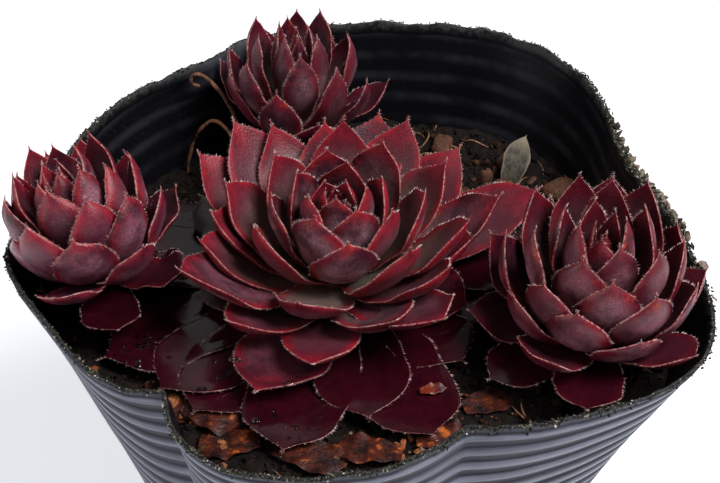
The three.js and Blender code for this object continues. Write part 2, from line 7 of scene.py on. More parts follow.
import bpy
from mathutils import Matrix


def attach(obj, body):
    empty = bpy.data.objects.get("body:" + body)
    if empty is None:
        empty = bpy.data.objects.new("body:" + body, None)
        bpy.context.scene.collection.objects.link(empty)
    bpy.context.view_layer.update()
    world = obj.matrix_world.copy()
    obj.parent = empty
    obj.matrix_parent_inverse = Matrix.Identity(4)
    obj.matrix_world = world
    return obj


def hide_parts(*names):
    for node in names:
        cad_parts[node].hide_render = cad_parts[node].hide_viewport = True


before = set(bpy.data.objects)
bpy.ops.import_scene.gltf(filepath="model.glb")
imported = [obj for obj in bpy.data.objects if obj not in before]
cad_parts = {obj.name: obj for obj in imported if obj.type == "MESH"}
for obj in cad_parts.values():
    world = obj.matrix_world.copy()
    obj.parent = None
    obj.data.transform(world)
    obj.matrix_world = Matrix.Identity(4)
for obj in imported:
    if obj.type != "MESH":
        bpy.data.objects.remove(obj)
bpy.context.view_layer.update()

import math

import bpy
import numpy as np
from mathutils import Matrix, Vector
from mathutils.bvhtree import BVHTree
from mathutils.geometry import delaunay_2d_cdt

# =========================================================================== the pot
# A soft nursery pot of thin black polyethylene film, blown into a mould with fine horizontal
# ribs. It is cut off raggedly at the rim, flares above a knee, and use has dented and folded it.

POT_BASE_RADIUS = 31.0
POT_KNEE_SHARE = 0.42
POT_KNEE_RADIUS = 36.5
POT_FLARE_POWER = 1.1
POT_RIM_RADIUS = 49.5
POT_FRONT_HEIGHT = 84.0
POT_BACK_RISE = 10.0
POT_MEAN_HEIGHT = 88.6
POT_WALL = 0.8
POT_FLOOR = 1.2
POT_DRAIN_HOLES = 6
POT_DRAIN_HOLE_RADIUS = 3.0
POT_DRAIN_HOLE_RING = 20.0
POT_AROUND = 320
HOLE_AROUND = 24
# the level circle along which the ripples of the cut edge are read
RIM_CIRCLE = 50.0
RIBS = 25
RIB_PITCH = 3.5
RIB_RELIEF = 0.38
# half a groove and the slope beside it, as shares of the pitch, and where the ribs end
RIB_GROOVE = 0.21
RIB_SLOPE = 0.07
RIB_END_SHARE = 0.982

# azimuth, push, half width and sharpness of each bulge (+) and dent (-) of the soft wall
POT_PUSHES = [
    (-169, 5.2, 15, 2),
    (-127, -8.5, 9, 1.15),
    (-116, 5.9, 28, 2),
    (-71, -4.2, 9, 1.4),
    (-32, 8.8, 19, 2),
    (17, -4.5, 17, 2),
    (56, 4.2, 23, 2),
    (128, -2.5, 12, 2),
]


def rim_radius(azimuth):
    """Rim radius plus, for each push, push * exp(-(turn away from it / half width)**sharpness)."""
    radius = POT_RIM_RADIUS + 0 * azimuth
    for middle, push, half_width, sharpness in POT_PUSHES:
        away = (np.degrees(azimuth) - middle + 180) % 360 - 180
        radius = radius + push * np.exp(-np.abs(away / half_width) ** sharpness)
    return radius


def rim_height(azimuth):
    """A level cut tipped back: lowest in front and POT_BACK_RISE higher behind."""
    return POT_FRONT_HEIGHT + POT_BACK_RISE * (0.5 + 0.5 * np.sin(azimuth))


def wall_radius(azimuth, share):
    """Straight from the base to the knee, then a power curve of the share of height to the rim."""
    lower = POT_BASE_RADIUS + (POT_KNEE_RADIUS - POT_BASE_RADIUS) * share / POT_KNEE_SHARE
    flare = np.clip((share - POT_KNEE_SHARE) / (1 - POT_KNEE_SHARE), 0, 1.2) ** POT_FLARE_POWER
    upper = POT_KNEE_RADIUS + (rim_radius(azimuth) - POT_KNEE_RADIUS) * flare
    return np.where(share < POT_KNEE_SHARE, lower, upper)


def inner_radius(azimuth, height):
    """The radius of the wall at a height in mm, less its thickness."""
    return wall_radius(azimuth, height / rim_height(azimuth)) - POT_WALL


def ripple(points, size, seed):
    """Smooth noise of about -1 to 1: the sum of twelve plane sine waves about `size` mm long."""
    random = np.random.default_rng(seed)
    directions = random.normal(size=(3, 12))
    directions /= np.linalg.norm(directions, axis=0)
    lengths = size * random.uniform(0.7, 1.4, 12)
    phases = random.uniform(0, 2 * np.pi, 12)
    return np.sin(points @ (directions * 2 * np.pi / lengths) + phases).sum(-1) / 5


def ripple_push(points, size, seed):
    """A push along each axis: three ripples with seeds one after another."""
    return np.stack([ripple(points, size, seed + axis) for axis in range(3)], -1)


def round_points(radius, azimuth, height):
    """Points at a radius, azimuth and height, each a number or an array."""
    x, y = radius * np.cos(azimuth), radius * np.sin(azimuth)
    return np.stack([x, y, height + 0 * x], -1)


def ring_quads(rings, around, first=0):
    """Quads between successive rings of `around` points each, numbered from `first`."""
    index = np.arange(rings * around).reshape(rings, around) + first
    onward = np.roll(index, -1, axis=1)
    return np.stack([index[:-1], onward[:-1], onward[1:], index[1:]], -1).reshape(-1, 4)


def new_piece(name, points, faces, materials, smooth=True, facts=None):
    """A mesh object of points in mm. Faces are arrays of point numbers; facts are point vectors."""
    mesh = bpy.data.meshes.new(name)
    face_list = [face for block in faces for face in np.asarray(block).tolist()]
    mesh.from_pydata((np.asarray(points) / 1000).tolist(), [], face_list)
    mesh.polygons.foreach_set("use_smooth", np.full(len(mesh.polygons), smooth))
    for key, values in (facts or {}).items():
        layer = mesh.attributes.new(key, "FLOAT_VECTOR", "POINT")
        layer.data.foreach_set("vector", np.asarray(values, dtype=np.float32).ravel())
    for material in materials:
        mesh.materials.append(material)
    mesh.update()
    piece = bpy.data.objects.new(name, mesh)
    bpy.context.scene.collection.objects.link(piece)
    return piece


def add_node(tree, kind, inputs=None, **settings):
    """A node with its settings and inputs. An input is a value, or a socket to link from."""
    node = tree.nodes.new(kind)
    for key, value in settings.items():
        setattr(node, key, value)
    for key, value in (inputs or {}).items():
        if isinstance(value, bpy.types.NodeSocket):
            tree.links.new(value, node.inputs[key])
        else:
            node.inputs[key].default_value = value
    return node


def mix_colours(tree, factor, first, second, mode="MIX"):
    """The socket of a colour mix. Colours are sockets or (r, g, b) numbers."""
    node = add_node(tree, "ShaderNodeMix", {0: factor}, data_type="RGBA", blend_type=mode)
    for socket, colour in ((node.inputs[6], first), (node.inputs[7], second)):
        if isinstance(colour, bpy.types.NodeSocket):
            tree.links.new(colour, socket)
        else:
            socket.default_value = (*colour, 1)
    return node.outputs[2]


def remap(tree, value, low, high, out_low=0.0, out_high=1.0, steps="SMOOTHSTEP"):
    """The socket of a value moved from low..high to out_low..out_high, with soft ends."""
    inputs = {"Value": value, "From Min": low, "From Max": high}
    inputs |= {"To Min": out_low, "To Max": out_high}
    return add_node(tree, "ShaderNodeMapRange", inputs, interpolation_type=steps).outputs[0]


def calculate(tree, operation, first, second):
    """The socket of a step on two values. Differences and products are held within 0 to 1."""
    node = add_node(tree, "ShaderNodeMath", {0: first, 1: second}, operation=operation)
    node.use_clamp = operation in ("MULTIPLY", "SUBTRACT")
    return node.outputs[0]


def product(tree, first, *others):
    """The socket of values multiplied one after another."""
    for other in others:
        first = calculate(tree, "MULTIPLY", first, other)
    return first


def point_fact(tree, key):
    """The three values that a mesh carries at each point under one name."""
    fact = add_node(tree, "ShaderNodeAttribute", attribute_name=key).outputs["Vector"]
    return add_node(tree, "ShaderNodeSeparateXYZ", {0: fact}).outputs


def own_place(tree):
    """The place of a point in the object's own space, in metres."""
    return add_node(tree, "ShaderNodeTexCoord").outputs["Object"]


def noise(tree, place, scale, detail, roughness):
    """The value of a noise at a place that is first scaled along each axis."""
    placed = add_node(tree, "ShaderNodeMapping", {"Vector": place, "Scale": scale}).outputs[0]
    inputs = {"Vector": placed, "Scale": 1.0, "Detail": detail, "Roughness": roughness}
    return add_node(tree, "ShaderNodeTexNoise", inputs).outputs["Fac"]


def object_noise(tree, size, detail=4.0, roughness=0.55, stretch=(1, 1, 1)):
    """A noise in the object's own space, its lumps about `size` mm across times the stretch."""
    scale = tuple(1000 / size / longer for longer in stretch)
    return noise(tree, own_place(tree), scale, detail, roughness)


def bump(tree, height, depth, strength):
    """A normal from a height of 0 to 1 that stands for `depth` mm."""
    inputs = {"Height": height, "Distance": depth / 1000, "Strength": strength}
    return add_node(tree, "ShaderNodeBump", inputs).outputs[0]


def new_material(name, **constants):
    """A material with its Principled shader, whose constants are set on its own sockets."""
    material = bpy.data.materials.new(name)
    material.use_nodes = True
    shader = material.node_tree.nodes["Principled BSDF"]
    for key, value in constants.items():
        shader.inputs[key.replace("_", " ")].default_value = value
    return material, material.node_tree, shader


def link(tree, shader, **sockets):
    """Links each socket to the shader's input of that name."""
    for key, socket in sockets.items():
        tree.links.new(socket, shader.inputs[key.replace("_", " ")])


# film_place holds how much a point is on the flat of a rib, or inside the pot -1, up to -0.75
# on a rib's back and down to -2 in a band painted lighter as painted light caught inside the
# rim at the back; how near it is to the cut rim; and its height along the wall in cm, which the
# streaks on the ribs follow.
film, film_tree, film_shader = new_material("black_film", Specular_IOR_Level=0.25)
film_rib, film_near_rim, film_height = point_fact(film_tree, "film_place")
film_x, film_y, _ = add_node(
    film_tree, "ShaderNodeSeparateXYZ", {0: own_place(film_tree)}
).outputs
film_along = add_node(
    film_tree, "ShaderNodeCombineXYZ", {0: film_x, 1: film_y, 2: film_height}
).outputs[0]
film_streak = noise(film_tree, film_along, (22, 22, 9), 6.0, 0.75)
film_rub = object_noise(film_tree, 9.0, 5.0, 0.6)
film_outside = remap(film_tree, film_rib, -0.6, -0.2)
# outside, the flats of the ribs are painted light as a bluish satin sheen and the grooves are left
# dark as painted shade; streaks and a rubbed noise break the painted sheen up
film_sheen_and_wear = product(
    film_tree,
    remap(film_tree, film_streak, 0.36, 0.6, 0.35, 1.0),
    remap(film_tree, film_rub, 0.2, 0.6, 0.6),
    remap(film_tree, film_rib, 0.0, 1.0, 0.1),
)
film_outside_with_sheen = mix_colours(film_tree, film_sheen_and_wear, (0.026, 0.026, 0.036), (0.155, 0.162, 0.212))
# inside, the same film is painted much darker than outside as painted shade, and the backs of the
# ribs a little lighter as faint painted sheen lines
film_inner_rib_sheen = product(
    film_tree,
    remap(film_tree, film_rib, -0.92, -0.76),
    remap(film_tree, film_rub, 0.35, 0.7, 0.1, 0.9),
)
film_inside = mix_colours(film_tree, film_inner_rib_sheen, (0.0015, 0.0015, 0.003), (0.017, 0.017, 0.022))
# a band inside below the rim at the back is painted lighter, as painted light caught there
film_lit_band = remap(film_tree, film_rib, -1.0, -2.0, 0.0, 0.8)
film_inside = mix_colours(film_tree, film_lit_band, film_inside, (0.070, 0.075, 0.095))
film_colour = mix_colours(film_tree, film_outside, film_inside, film_outside_with_sheen)

# dust and dried splashes lie in blotches that break up into specks, least inside
film_dust = product(
    film_tree,
    remap(film_tree, object_noise(film_tree, 9.0, 5.0, 0.65), 0.46, 0.7),
    remap(film_tree, object_noise(film_tree, 0.7, 3.0, 0.6), 0.5, 0.72),
    remap(film_tree, film_outside, 0.0, 1.0, 0.04, 0.25),
)
film_colour = mix_colours(film_tree, film_dust, film_colour, (0.16, 0.15, 0.15))
film_crusted = product(
    film_tree,
    remap(film_tree, film_near_rim, 0.55, 1.0),
    remap(film_tree, object_noise(film_tree, 1.2, 5.0, 0.7), 0.42, 0.62),
)
film_colour = mix_colours(film_tree, film_crusted, film_colour, (0.030, 0.029, 0.024))
film_crease = object_noise(film_tree, 5.0, 4.0, 0.6, (1, 1, 4))
film_relief = mix_colours(film_tree, 0.45, film_streak, film_crease)
link(
    film_tree,
    film_shader,
    Base_Color=film_colour,
    Roughness=remap(film_tree, film_crusted, 0.0, 1.0, 0.4, 0.85, "LINEAR"),
    Normal=bump(film_tree, film_relief, 0.35, 0.8),
)


def rib_profile(height):
    """1 on the flat of a rib and 0 in the groove under it: a trapezium wave of RIB_PITCH."""
    phase = (height / RIB_PITCH) % 1
    return np.clip((np.minimum(phase, 1 - phase) - RIB_GROOVE) / RIB_SLOPE, 0, 1)


def rim_ripple(azimuth, size, seed):
    """The ripple along a level circle of about the rim's size."""
    return ripple(round_points(RIM_CIRCLE, azimuth, 0.0), size, seed)


def cut_edge(azimuth):
    """How far the ragged cut stands above or below the even rim, in mm: two sizes of ripple."""
    return 0.4 * rim_ripple(azimuth, 7.0, 3) + 0.25 * rim_ripple(azimuth, 2.2, 4) - 0.6


pot_azimuths = np.linspace(-np.pi, np.pi, POT_AROUND, endpoint=False)

# heights of the rings: four to each rib, at the edges of its flat and of its groove
rib_edges = np.array([RIB_GROOVE, RIB_GROOVE + RIB_SLOPE])
rib_edges = np.concatenate([rib_edges, 1 - rib_edges[::-1]])
rib_marks = (np.arange(RIBS)[:, None] + rib_edges).ravel()
pot_shares = np.concatenate(
    [[0, 0.004], rib_marks * RIB_PITCH / POT_MEAN_HEIGHT, [RIB_END_SHARE, 0.991, 1.0]]
)
share_grid, azimuth_grid = np.meshgrid(pot_shares, pot_azimuths, indexing="ij")
height_grid = rim_height(azimuth_grid) * share_grid
height_grid += cut_edge(azimuth_grid) * np.clip((share_grid - 0.965) / 0.035, 0, 1)
ribbed = rib_profile(share_grid * POT_MEAN_HEIGHT)
ribbed *= np.clip((RIB_END_SHARE - share_grid) / 0.006, 0, 1)
ribbed *= np.clip(share_grid / 0.03, 0, 1)
plain_radius = wall_radius(azimuth_grid, share_grid)
plain_skin = round_points(plain_radius, azimuth_grid, height_grid)
wrinkle = 0.25 * ripple(plain_skin, 26, 5) + 0.04 * ripple(plain_skin, 9, 6)
wrinkle *= np.clip(share_grid * 3, 0, 1)
outer_radius = plain_radius + wrinkle + RIB_RELIEF * (ribbed - 0.5)
outer_skin = round_points(outer_radius, azimuth_grid, height_grid)

# the inside shows the same ribs from behind, fainter
inner_rows = np.arange(len(pot_shares) - 1, 2, -2)
inner_relief = 0.6 * RIB_RELIEF * (ribbed[inner_rows] - 0.5)
inner_skin_radius = outer_radius[inner_rows] - POT_WALL - inner_relief
inner_skin = round_points(
    inner_skin_radius, azimuth_grid[inner_rows], height_grid[inner_rows]
)
lip = round_points(
    outer_radius[-1] - POT_WALL / 2,
    pot_azimuths,
    rim_height(pot_azimuths) + cut_edge(pot_azimuths) + 0.2,
)
pot_rings = [*outer_skin, lip, *inner_skin]
pot_rings.append(round_points(inner_skin_radius[-1], pot_azimuths, POT_FLOOR))

# the floor is flat above and below, and the drain holes go through it
hole_turns = np.linspace(0, 2 * np.pi, HOLE_AROUND, endpoint=False)
hole_middles = np.arange(POT_DRAIN_HOLES) * 2 * np.pi / POT_DRAIN_HOLES
hole_x = POT_DRAIN_HOLE_RING * np.cos(hole_middles)[:, None]
hole_y = POT_DRAIN_HOLE_RING * np.sin(hole_middles)[:, None]
hole_rims = np.stack(
    [
        hole_x + POT_DRAIN_HOLE_RADIUS * np.cos(hole_turns),
        hole_y + POT_DRAIN_HOLE_RADIUS * np.sin(hole_turns),
    ],
    -1,
)
floor_outline = np.concatenate([pot_rings[0][:, :2], hole_rims.reshape(-1, 2)])
floor_loops = [list(range(POT_AROUND))]
for hole in range(POT_DRAIN_HOLES):
    start = POT_AROUND + hole * HOLE_AROUND
    floor_loops.append(list(range(start, start + HOLE_AROUND)))
INSIDE_WITH_HOLES = 2
_, _, floor_triangles, first_numbers, _, _ = delaunay_2d_cdt(
    [Vector(point) for point in floor_outline], [], floor_loops, INSIDE_WITH_HOLES, 1e-6
)
floor_faces = np.array(
    [[first_numbers[corner][0] for corner in triangle] for triangle in floor_triangles]
)

ring_count = len(pot_rings)
first_hole_point = ring_count * POT_AROUND
hole_points = POT_DRAIN_HOLES * HOLE_AROUND
is_hole = floor_faces >= POT_AROUND
under_faces = np.where(is_hole, floor_faces - POT_AROUND + first_hole_point, floor_faces)
above_faces = np.where(
    is_hole,
    floor_faces - POT_AROUND + first_hole_point + hole_points,
    floor_faces + (ring_count - 1) * POT_AROUND,
)
hole_walls = []
for hole in range(POT_DRAIN_HOLES):
    low_ring = first_hole_point + hole * HOLE_AROUND + np.arange(HOLE_AROUND)
    high_ring = low_ring + hole_points
    sides = [low_ring, high_ring, np.roll(high_ring, -1), np.roll(low_ring, -1)]
    hole_walls.append(np.stack(sides, -1))
flat_rims = hole_rims.reshape(-1, 2)
pot_points = np.concatenate(
    [
        *pot_rings,
        np.column_stack([flat_rims, np.zeros(hole_points)]),
        np.column_stack([flat_rims, np.full(hole_points, POT_FLOOR)]),
    ]
)

# what the film's material reads: crust is near the rim, and along one stretch at the back a band
# inside below the rim is painted lighter, as painted light caught on the inner wall
CRUSTED_DEPTH = 5.0
LIT_BAND_DEPTH = 6.5
LIT_BAND_AZIMUTH = 115
LIT_BAND_HALF_WIDTH = 13
pot_facts = np.zeros((len(pot_points), 3))
outer_count = len(outer_skin) * POT_AROUND
first_inside = outer_count + POT_AROUND
pot_facts[:outer_count, 0] = ribbed.ravel()
pot_facts[first_inside:, 0] = -1
inner_ribs = ribbed[inner_rows].ravel()
pot_facts[first_inside : first_inside + len(inner_ribs), 0] += 0.25 * inner_ribs
rim_drop = np.tile(rim_height(pot_azimuths), ring_count) - pot_points[:first_hole_point, 2]
pot_facts[:first_hole_point, 1] = np.clip(1 - rim_drop / CRUSTED_DEPTH, 0, 1)
pot_facts[:outer_count, 2] = (share_grid * POT_MEAN_HEIGHT).ravel() / 10
lit_band_turn = np.degrees(np.tile(pot_azimuths, ring_count)) - LIT_BAND_AZIMUTH
lit_band = np.exp(-((lit_band_turn / LIT_BAND_HALF_WIDTH) ** 2))
lit_band *= np.clip((LIT_BAND_DEPTH - rim_drop) / 2, 0, 1)
pot_facts[first_inside:first_hole_point, 0] -= lit_band[first_inside:]
pot_faces = [
    ring_quads(ring_count, POT_AROUND),
    under_faces[:, ::-1],
    above_faces,
    *hole_walls,
]
pot = new_piece("pot_film", pot_points, pot_faces, [film], facts={"film_place": pot_facts})
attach(pot, "root")
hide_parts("pot")


# =========================================================================== crust on the rim
# Compost dust and algae have dried into a rough crust along the cut edge of the film. It is
# thickest on the right, where pale flakes of it peel off outside, and thin along the back.

# an icosahedron of radius 1, from the golden ratio
ICO_RATIO = (1 + math.sqrt(5)) / 2
ICO_POINTS = np.array(
    [
        [-1, ICO_RATIO, 0], [1, ICO_RATIO, 0], [-1, -ICO_RATIO, 0], [1, -ICO_RATIO, 0],
        [0, -1, ICO_RATIO], [0, 1, ICO_RATIO], [0, -1, -ICO_RATIO], [0, 1, -ICO_RATIO],
        [ICO_RATIO, 0, -1], [ICO_RATIO, 0, 1], [-ICO_RATIO, 0, -1], [-ICO_RATIO, 0, 1],
    ]
) / math.sqrt(1 + ICO_RATIO**2)
ICO_FACES = np.array(
    [
        [0, 11, 5], [0, 5, 1], [0, 1, 7], [0, 7, 10], [0, 10, 11],
        [1, 5, 9], [5, 11, 4], [11, 10, 2], [10, 7, 6], [7, 1, 8],
        [3, 9, 4], [3, 4, 2], [3, 2, 6], [3, 6, 8], [3, 8, 9],
        [4, 9, 5], [2, 4, 11], [6, 2, 10], [8, 6, 7], [9, 8, 1],
    ]
)


def grains(middles, sizes, seed, roughness, flatness=0.6):
    """Rough lumps: icosahedra whose corners are drawn in or out, squashed and turned at random.

    middles is (n, 3) and sizes (n,) in mm. Gives the points, the faces and one tone to a lump.
    """
    random = np.random.default_rng(seed)
    count = len(middles)
    corners = ICO_POINTS * (1 + roughness * random.uniform(-1, 1, (count, 12, 1)))
    stretch = sizes[:, None] * random.uniform(flatness, 1.3, (count, 3))
    corners = corners * stretch[:, None]
    turns = random.normal(size=(count, 4))
    w, x, y, z = (turns / np.linalg.norm(turns, axis=1, keepdims=True)).T
    spin = np.stack(
        [
            np.stack([1 - 2 * (y * y + z * z), 2 * (x * y - w * z), 2 * (x * z + w * y)], -1),
            np.stack([2 * (x * y + w * z), 1 - 2 * (x * x + z * z), 2 * (y * z - w * x)], -1),
            np.stack([2 * (x * z - w * y), 2 * (y * z + w * x), 1 - 2 * (x * x + y * y)], -1),
        ],
        1,
    )
    points = np.einsum("nij,nkj->nki", spin, corners) + middles[:, None]
    faces = ICO_FACES + 12 * np.arange(count)[:, None, None]
    tones = np.repeat(random.uniform(size=count), 12)
    facts = np.column_stack([tones, tones * 0, tones * 0])
    return points.reshape(-1, 3), faces.reshape(-1, 3), facts


def earth_material(name, stops):
    """Loose earthy matter: each lump's tone picks its colour from a ramp of (tone, colour)."""
    material, tree, shader = new_material(name, Roughness=0.9, Specular_IOR_Level=0.15)
    ramp = add_node(tree, "ShaderNodeValToRGB", {0: point_fact(tree, "tone")[0]})
    elements = ramp.color_ramp.elements
    for element, (position, colour) in zip(elements, (stops[0], stops[-1])):
        element.position = position
        element.color = (*colour, 1)
    for position, colour in stops[1:-1]:
        elements.new(position).color = (*colour, 1)
    mottle = object_noise(tree, 0.9, 5.0, 0.7)
    shade = mix_colours(tree, remap(tree, mottle, 0.3, 0.7), (0.45, 0.42, 0.4), (1.25, 1.2, 1.15))
    colour = mix_colours(tree, 1.0, ramp.outputs[0], shade, "MULTIPLY")
    link(tree, shader, Base_Color=colour, Normal=bump(tree, mottle, 0.25, 0.8))
    return material


crust_matter = earth_material(
    "dried_crust",
    [
        (0.0, (0.008, 0.008, 0.006)),
        (0.6, (0.028, 0.029, 0.020)),
        (0.85, (0.085, 0.083, 0.062)),
        (0.96, (0.26, 0.24, 0.20)),
        (1.0, (0.60, 0.56, 0.50)),
    ],
)
CRUST_GRAINS = 5200
CRUST_THICKEST = 11
crust_random = np.random.default_rng(21)
# half of the grains lie on the right, a fifth all round and the rest along the front
crust_azimuth = np.concatenate(
    [
        crust_random.normal(np.radians(CRUST_THICKEST), np.radians(16), CRUST_GRAINS // 2),
        crust_random.uniform(-np.pi, np.pi, CRUST_GRAINS // 5),
        crust_random.normal(np.radians(-100), np.radians(42), CRUST_GRAINS * 3 // 10),
    ]
)
crust_clots = np.clip(0.5 + 0.6 * rim_ripple(crust_azimuth, 3.0, 23), 0, 1)
crust_across = crust_random.uniform(-0.55, 0.6, len(crust_azimuth)) * POT_WALL
crust_drop = crust_random.uniform(0, 1, len(crust_azimuth)) ** 2 * 1.3 * crust_clots
crust_middles = round_points(
    rim_radius(crust_azimuth) - POT_WALL / 2 + crust_across,
    crust_azimuth,
    rim_height(crust_azimuth)
    + cut_edge(crust_azimuth)
    + 0.15
    - np.where(np.abs(crust_across) > 0.35, crust_drop, 0),
)
crust_sizes = 0.07 + 0.12 * crust_random.uniform(size=len(crust_azimuth)) + 0.11 * crust_clots**2
right_side = np.exp(-(((np.degrees(crust_azimuth) - CRUST_THICKEST) / 18) ** 2))
crust_sizes *= 0.8 + 0.35 * right_side
crust_points, crust_faces, crust_facts = grains(crust_middles, crust_sizes, 22, 0.45)
rim_crust = new_piece(
    "rim_crust", crust_points, [crust_faces], [crust_matter], False, {"tone": crust_facts}
)
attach(rim_crust, "root")

# torn flakes of pale dried film and lime hang outside the rim on the right
FLAKES = 420
flake_random = np.random.default_rng(24)
flake_azimuth = np.radians(flake_random.normal(6, 9.0, FLAKES))
flake_drop = 3.4 * flake_random.uniform(size=FLAKES) ** 1.4
flake_height = rim_height(flake_azimuth) - flake_drop
flake_out = wall_radius(flake_azimuth, flake_height / rim_height(flake_azimuth))
flake_middles = round_points(flake_out + 0.3, flake_azimuth, flake_height)
flake_sizes = flake_random.uniform(0.22, 0.75, FLAKES)
flake_points, flake_faces, flake_facts = grains(flake_middles, flake_sizes, 25, 0.5, 0.15)
flake_matter = earth_material(
    "pale_flakes",
    [
        (0.0, (0.035, 0.032, 0.028)),
        (0.35, (0.13, 0.115, 0.09)),
        (0.8, (0.34, 0.28, 0.235)),
        (1.0, (0.52, 0.44, 0.38)),
    ],
)
rim_flakes = new_piece(
    "rim_flakes", flake_points, [flake_faces], [flake_matter], False, {"tone": flake_facts}
)
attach(rim_flakes, "root")


# =========================================================================== the soil
# Damp dark compost of peat and fine bark that fills the pot. It is one closed body whose top is
# uneven, with loose crumbs and fibres lying on it.

SOIL_LEVEL = 76.0
SOIL_BOTTOM = 1.6
SOIL_GAP = 0.35
# rings up the side, as shares of the rim's height, and rings from the edge inwards on top
SOIL_SIDE_SHARES = (0.2, 0.42, 0.5, 0.6, 0.7, 0.8)
SOIL_TOP_RINGS = 60
SOIL_AROUND = 200


def soil_height(x, y):
    """The level plus a broad and a fine egg-box wave."""
    broad = 0.35 * np.sin(0.31 * x + 1) * np.cos(0.27 * y)
    return SOIL_LEVEL + broad + 0.15 * np.sin(0.9 * x) * np.sin(0.8 * y)


soil_matter, soil_tree, soil_shader = new_material("damp_compost", Specular_IOR_Level=0.2)
soil_clumps = object_noise(soil_tree, 1.6, 8.0, 0.75)
soil_dry = remap(soil_tree, soil_clumps, 0.4, 0.75)
soil_colour = mix_colours(soil_tree, soil_dry, (0.003, 0.002, 0.002), (0.022, 0.012, 0.008))
soil_bits = remap(soil_tree, object_noise(soil_tree, 2.4, 4.0, 0.7), 0.6, 0.72)
soil_colour = mix_colours(soil_tree, soil_bits, soil_colour, (0.07, 0.022, 0.008))
link(
    soil_tree,
    soil_shader,
    Base_Color=soil_colour,
    Roughness=remap(soil_tree, soil_clumps, 0.3, 0.7, 0.45, 0.95),
    Normal=bump(soil_tree, soil_clumps, 1.0, 0.9),
)

soil_azimuths = np.linspace(-np.pi, np.pi, SOIL_AROUND, endpoint=False)


def soil_side(height):
    """The wall's inside less a small gap, at a height in mm for each azimuth."""
    return inner_radius(soil_azimuths, height) - SOIL_GAP


def fan(ring, middle, flipped=False):
    """Triangles from each side of a ring of point numbers to one middle point."""
    onward = np.roll(ring, -1)
    sides = (onward, ring) if flipped else (ring, onward)
    return np.stack([*sides, np.full_like(ring, middle)], -1)


def closed_rings(rings, around, first=0):
    """Faces of a body made of rings of points: quads between the rings and a fan at each end.

    The middle of the first ring and then that of the last are numbered after all the rings.
    """
    ring = np.arange(around) + first
    middle = first + rings * around
    return [
        ring_quads(rings, around, first),
        fan(ring, middle, flipped=True),
        fan(ring + (rings - 1) * around, middle + 1),
    ]


bottom_radius = soil_side(SOIL_BOTTOM)
soil_rings = [
    round_points(bottom_radius * share, soil_azimuths, SOIL_BOTTOM) for share in (0.5, 1.0)
]
for share in SOIL_SIDE_SHARES:
    side_height = rim_height(soil_azimuths) * share
    soil_rings.append(round_points(soil_side(side_height), soil_azimuths, side_height))
for share in np.linspace(1, 0.02, SOIL_TOP_RINGS):
    radius = share * soil_side(SOIL_LEVEL)
    x = radius * np.cos(soil_azimuths)
    y = radius * np.sin(soil_azimuths)
    flat = np.stack([x, y, 0 * x], -1)
    lumps = 0.45 * ripple(flat, 4.5, 31) + 0.35 * ripple(flat, 1.7, 32)
    soil_rings.append(np.stack([x, y, soil_height(x, y) + lumps - 0.15], -1))
soil_points = np.vstack([*soil_rings, [0, 0, SOIL_BOTTOM], soil_rings[-1].mean(0)])
soil_faces = closed_rings(len(soil_rings), SOIL_AROUND)
soil = new_piece("compost", soil_points, soil_faces, [soil_matter])
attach(soil, "root")
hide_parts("soil")


# =========================================================================== crumbs and fibres
# Loose crumbs of peat, grit and shredded bark lie over the compost, with a few dry rootlets.
# Watering has washed them up, and nothing holds them.

def scatter(count, seed):
    """Points spread evenly over the soil's top: the share of the radius is a root of a draw."""
    random = np.random.default_rng(seed)
    azimuth = random.uniform(-np.pi, np.pi, count)
    radius = np.sqrt(random.uniform(size=count)) * (inner_radius(azimuth, SOIL_LEVEL) - 1.0)
    x, y = radius * np.cos(azimuth), radius * np.sin(azimuth)
    return np.stack([x, y, soil_height(x, y)], -1)


crumb_matter = earth_material(
    "crumbs",
    [
        (0.0, (0.004, 0.003, 0.002)),
        (0.6, (0.016, 0.009, 0.006)),
        (0.85, (0.05, 0.024, 0.012)),
        (0.95, (0.20, 0.06, 0.016)),
        (1.0, (0.26, 0.20, 0.14)),
    ],
)
CRUMBS = 5600
crumb_middles = scatter(CRUMBS, 41)
crumb_sizes = 0.16 + 0.7 * np.random.default_rng(42).uniform(size=CRUMBS) ** 5
crumb_middles[:, 2] += 0.25 * crumb_sizes
crumb_points, crumb_faces, crumb_facts = grains(crumb_middles, crumb_sizes, 43, 0.5)
# those towards the back are darker
crumb_facts[:, 0] *= 1 - 0.12 * np.clip(crumb_points[:, 1] / 20, 0, 1)
crumbs = new_piece(
    "crumbs", crumb_points, [crumb_faces], [crumb_matter], False, {"tone": crumb_facts}
)
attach(crumbs, "root")


def cords(paths, radii, around=5):
    """Round cords along many paths at once: a ring of points square to the path at each mark.

    paths is (n, marks, 3) and radii (n, marks) in mm. Each cord is closed by a fan at both ends.
    """
    count, marks, _ = paths.shape
    along = np.gradient(paths, axis=1)
    along /= np.linalg.norm(along, axis=2, keepdims=True)
    helper = np.where(np.abs(along[..., 2:]) > 0.9, [1.0, 0, 0], [0, 0, 1.0])
    side = np.cross(along, helper)
    side /= np.linalg.norm(side, axis=2, keepdims=True)
    other = np.cross(along, side)
    turns = np.linspace(0, 2 * np.pi, around, endpoint=False)
    wheel = np.cos(turns)[:, None] * side[:, :, None] + np.sin(turns)[:, None] * other[:, :, None]
    rings = paths[:, :, None] + radii[:, :, None, None] * wheel
    size = marks * around + 2
    points = np.concatenate([rings.reshape(count, -1, 3), paths[:, [0, -1]]], 1)
    shift = (np.arange(count) * size)[:, None, None]
    return points.reshape(-1, 3), [
        (block + shift).reshape(-1, block.shape[1]) for block in closed_rings(marks, around)
    ]


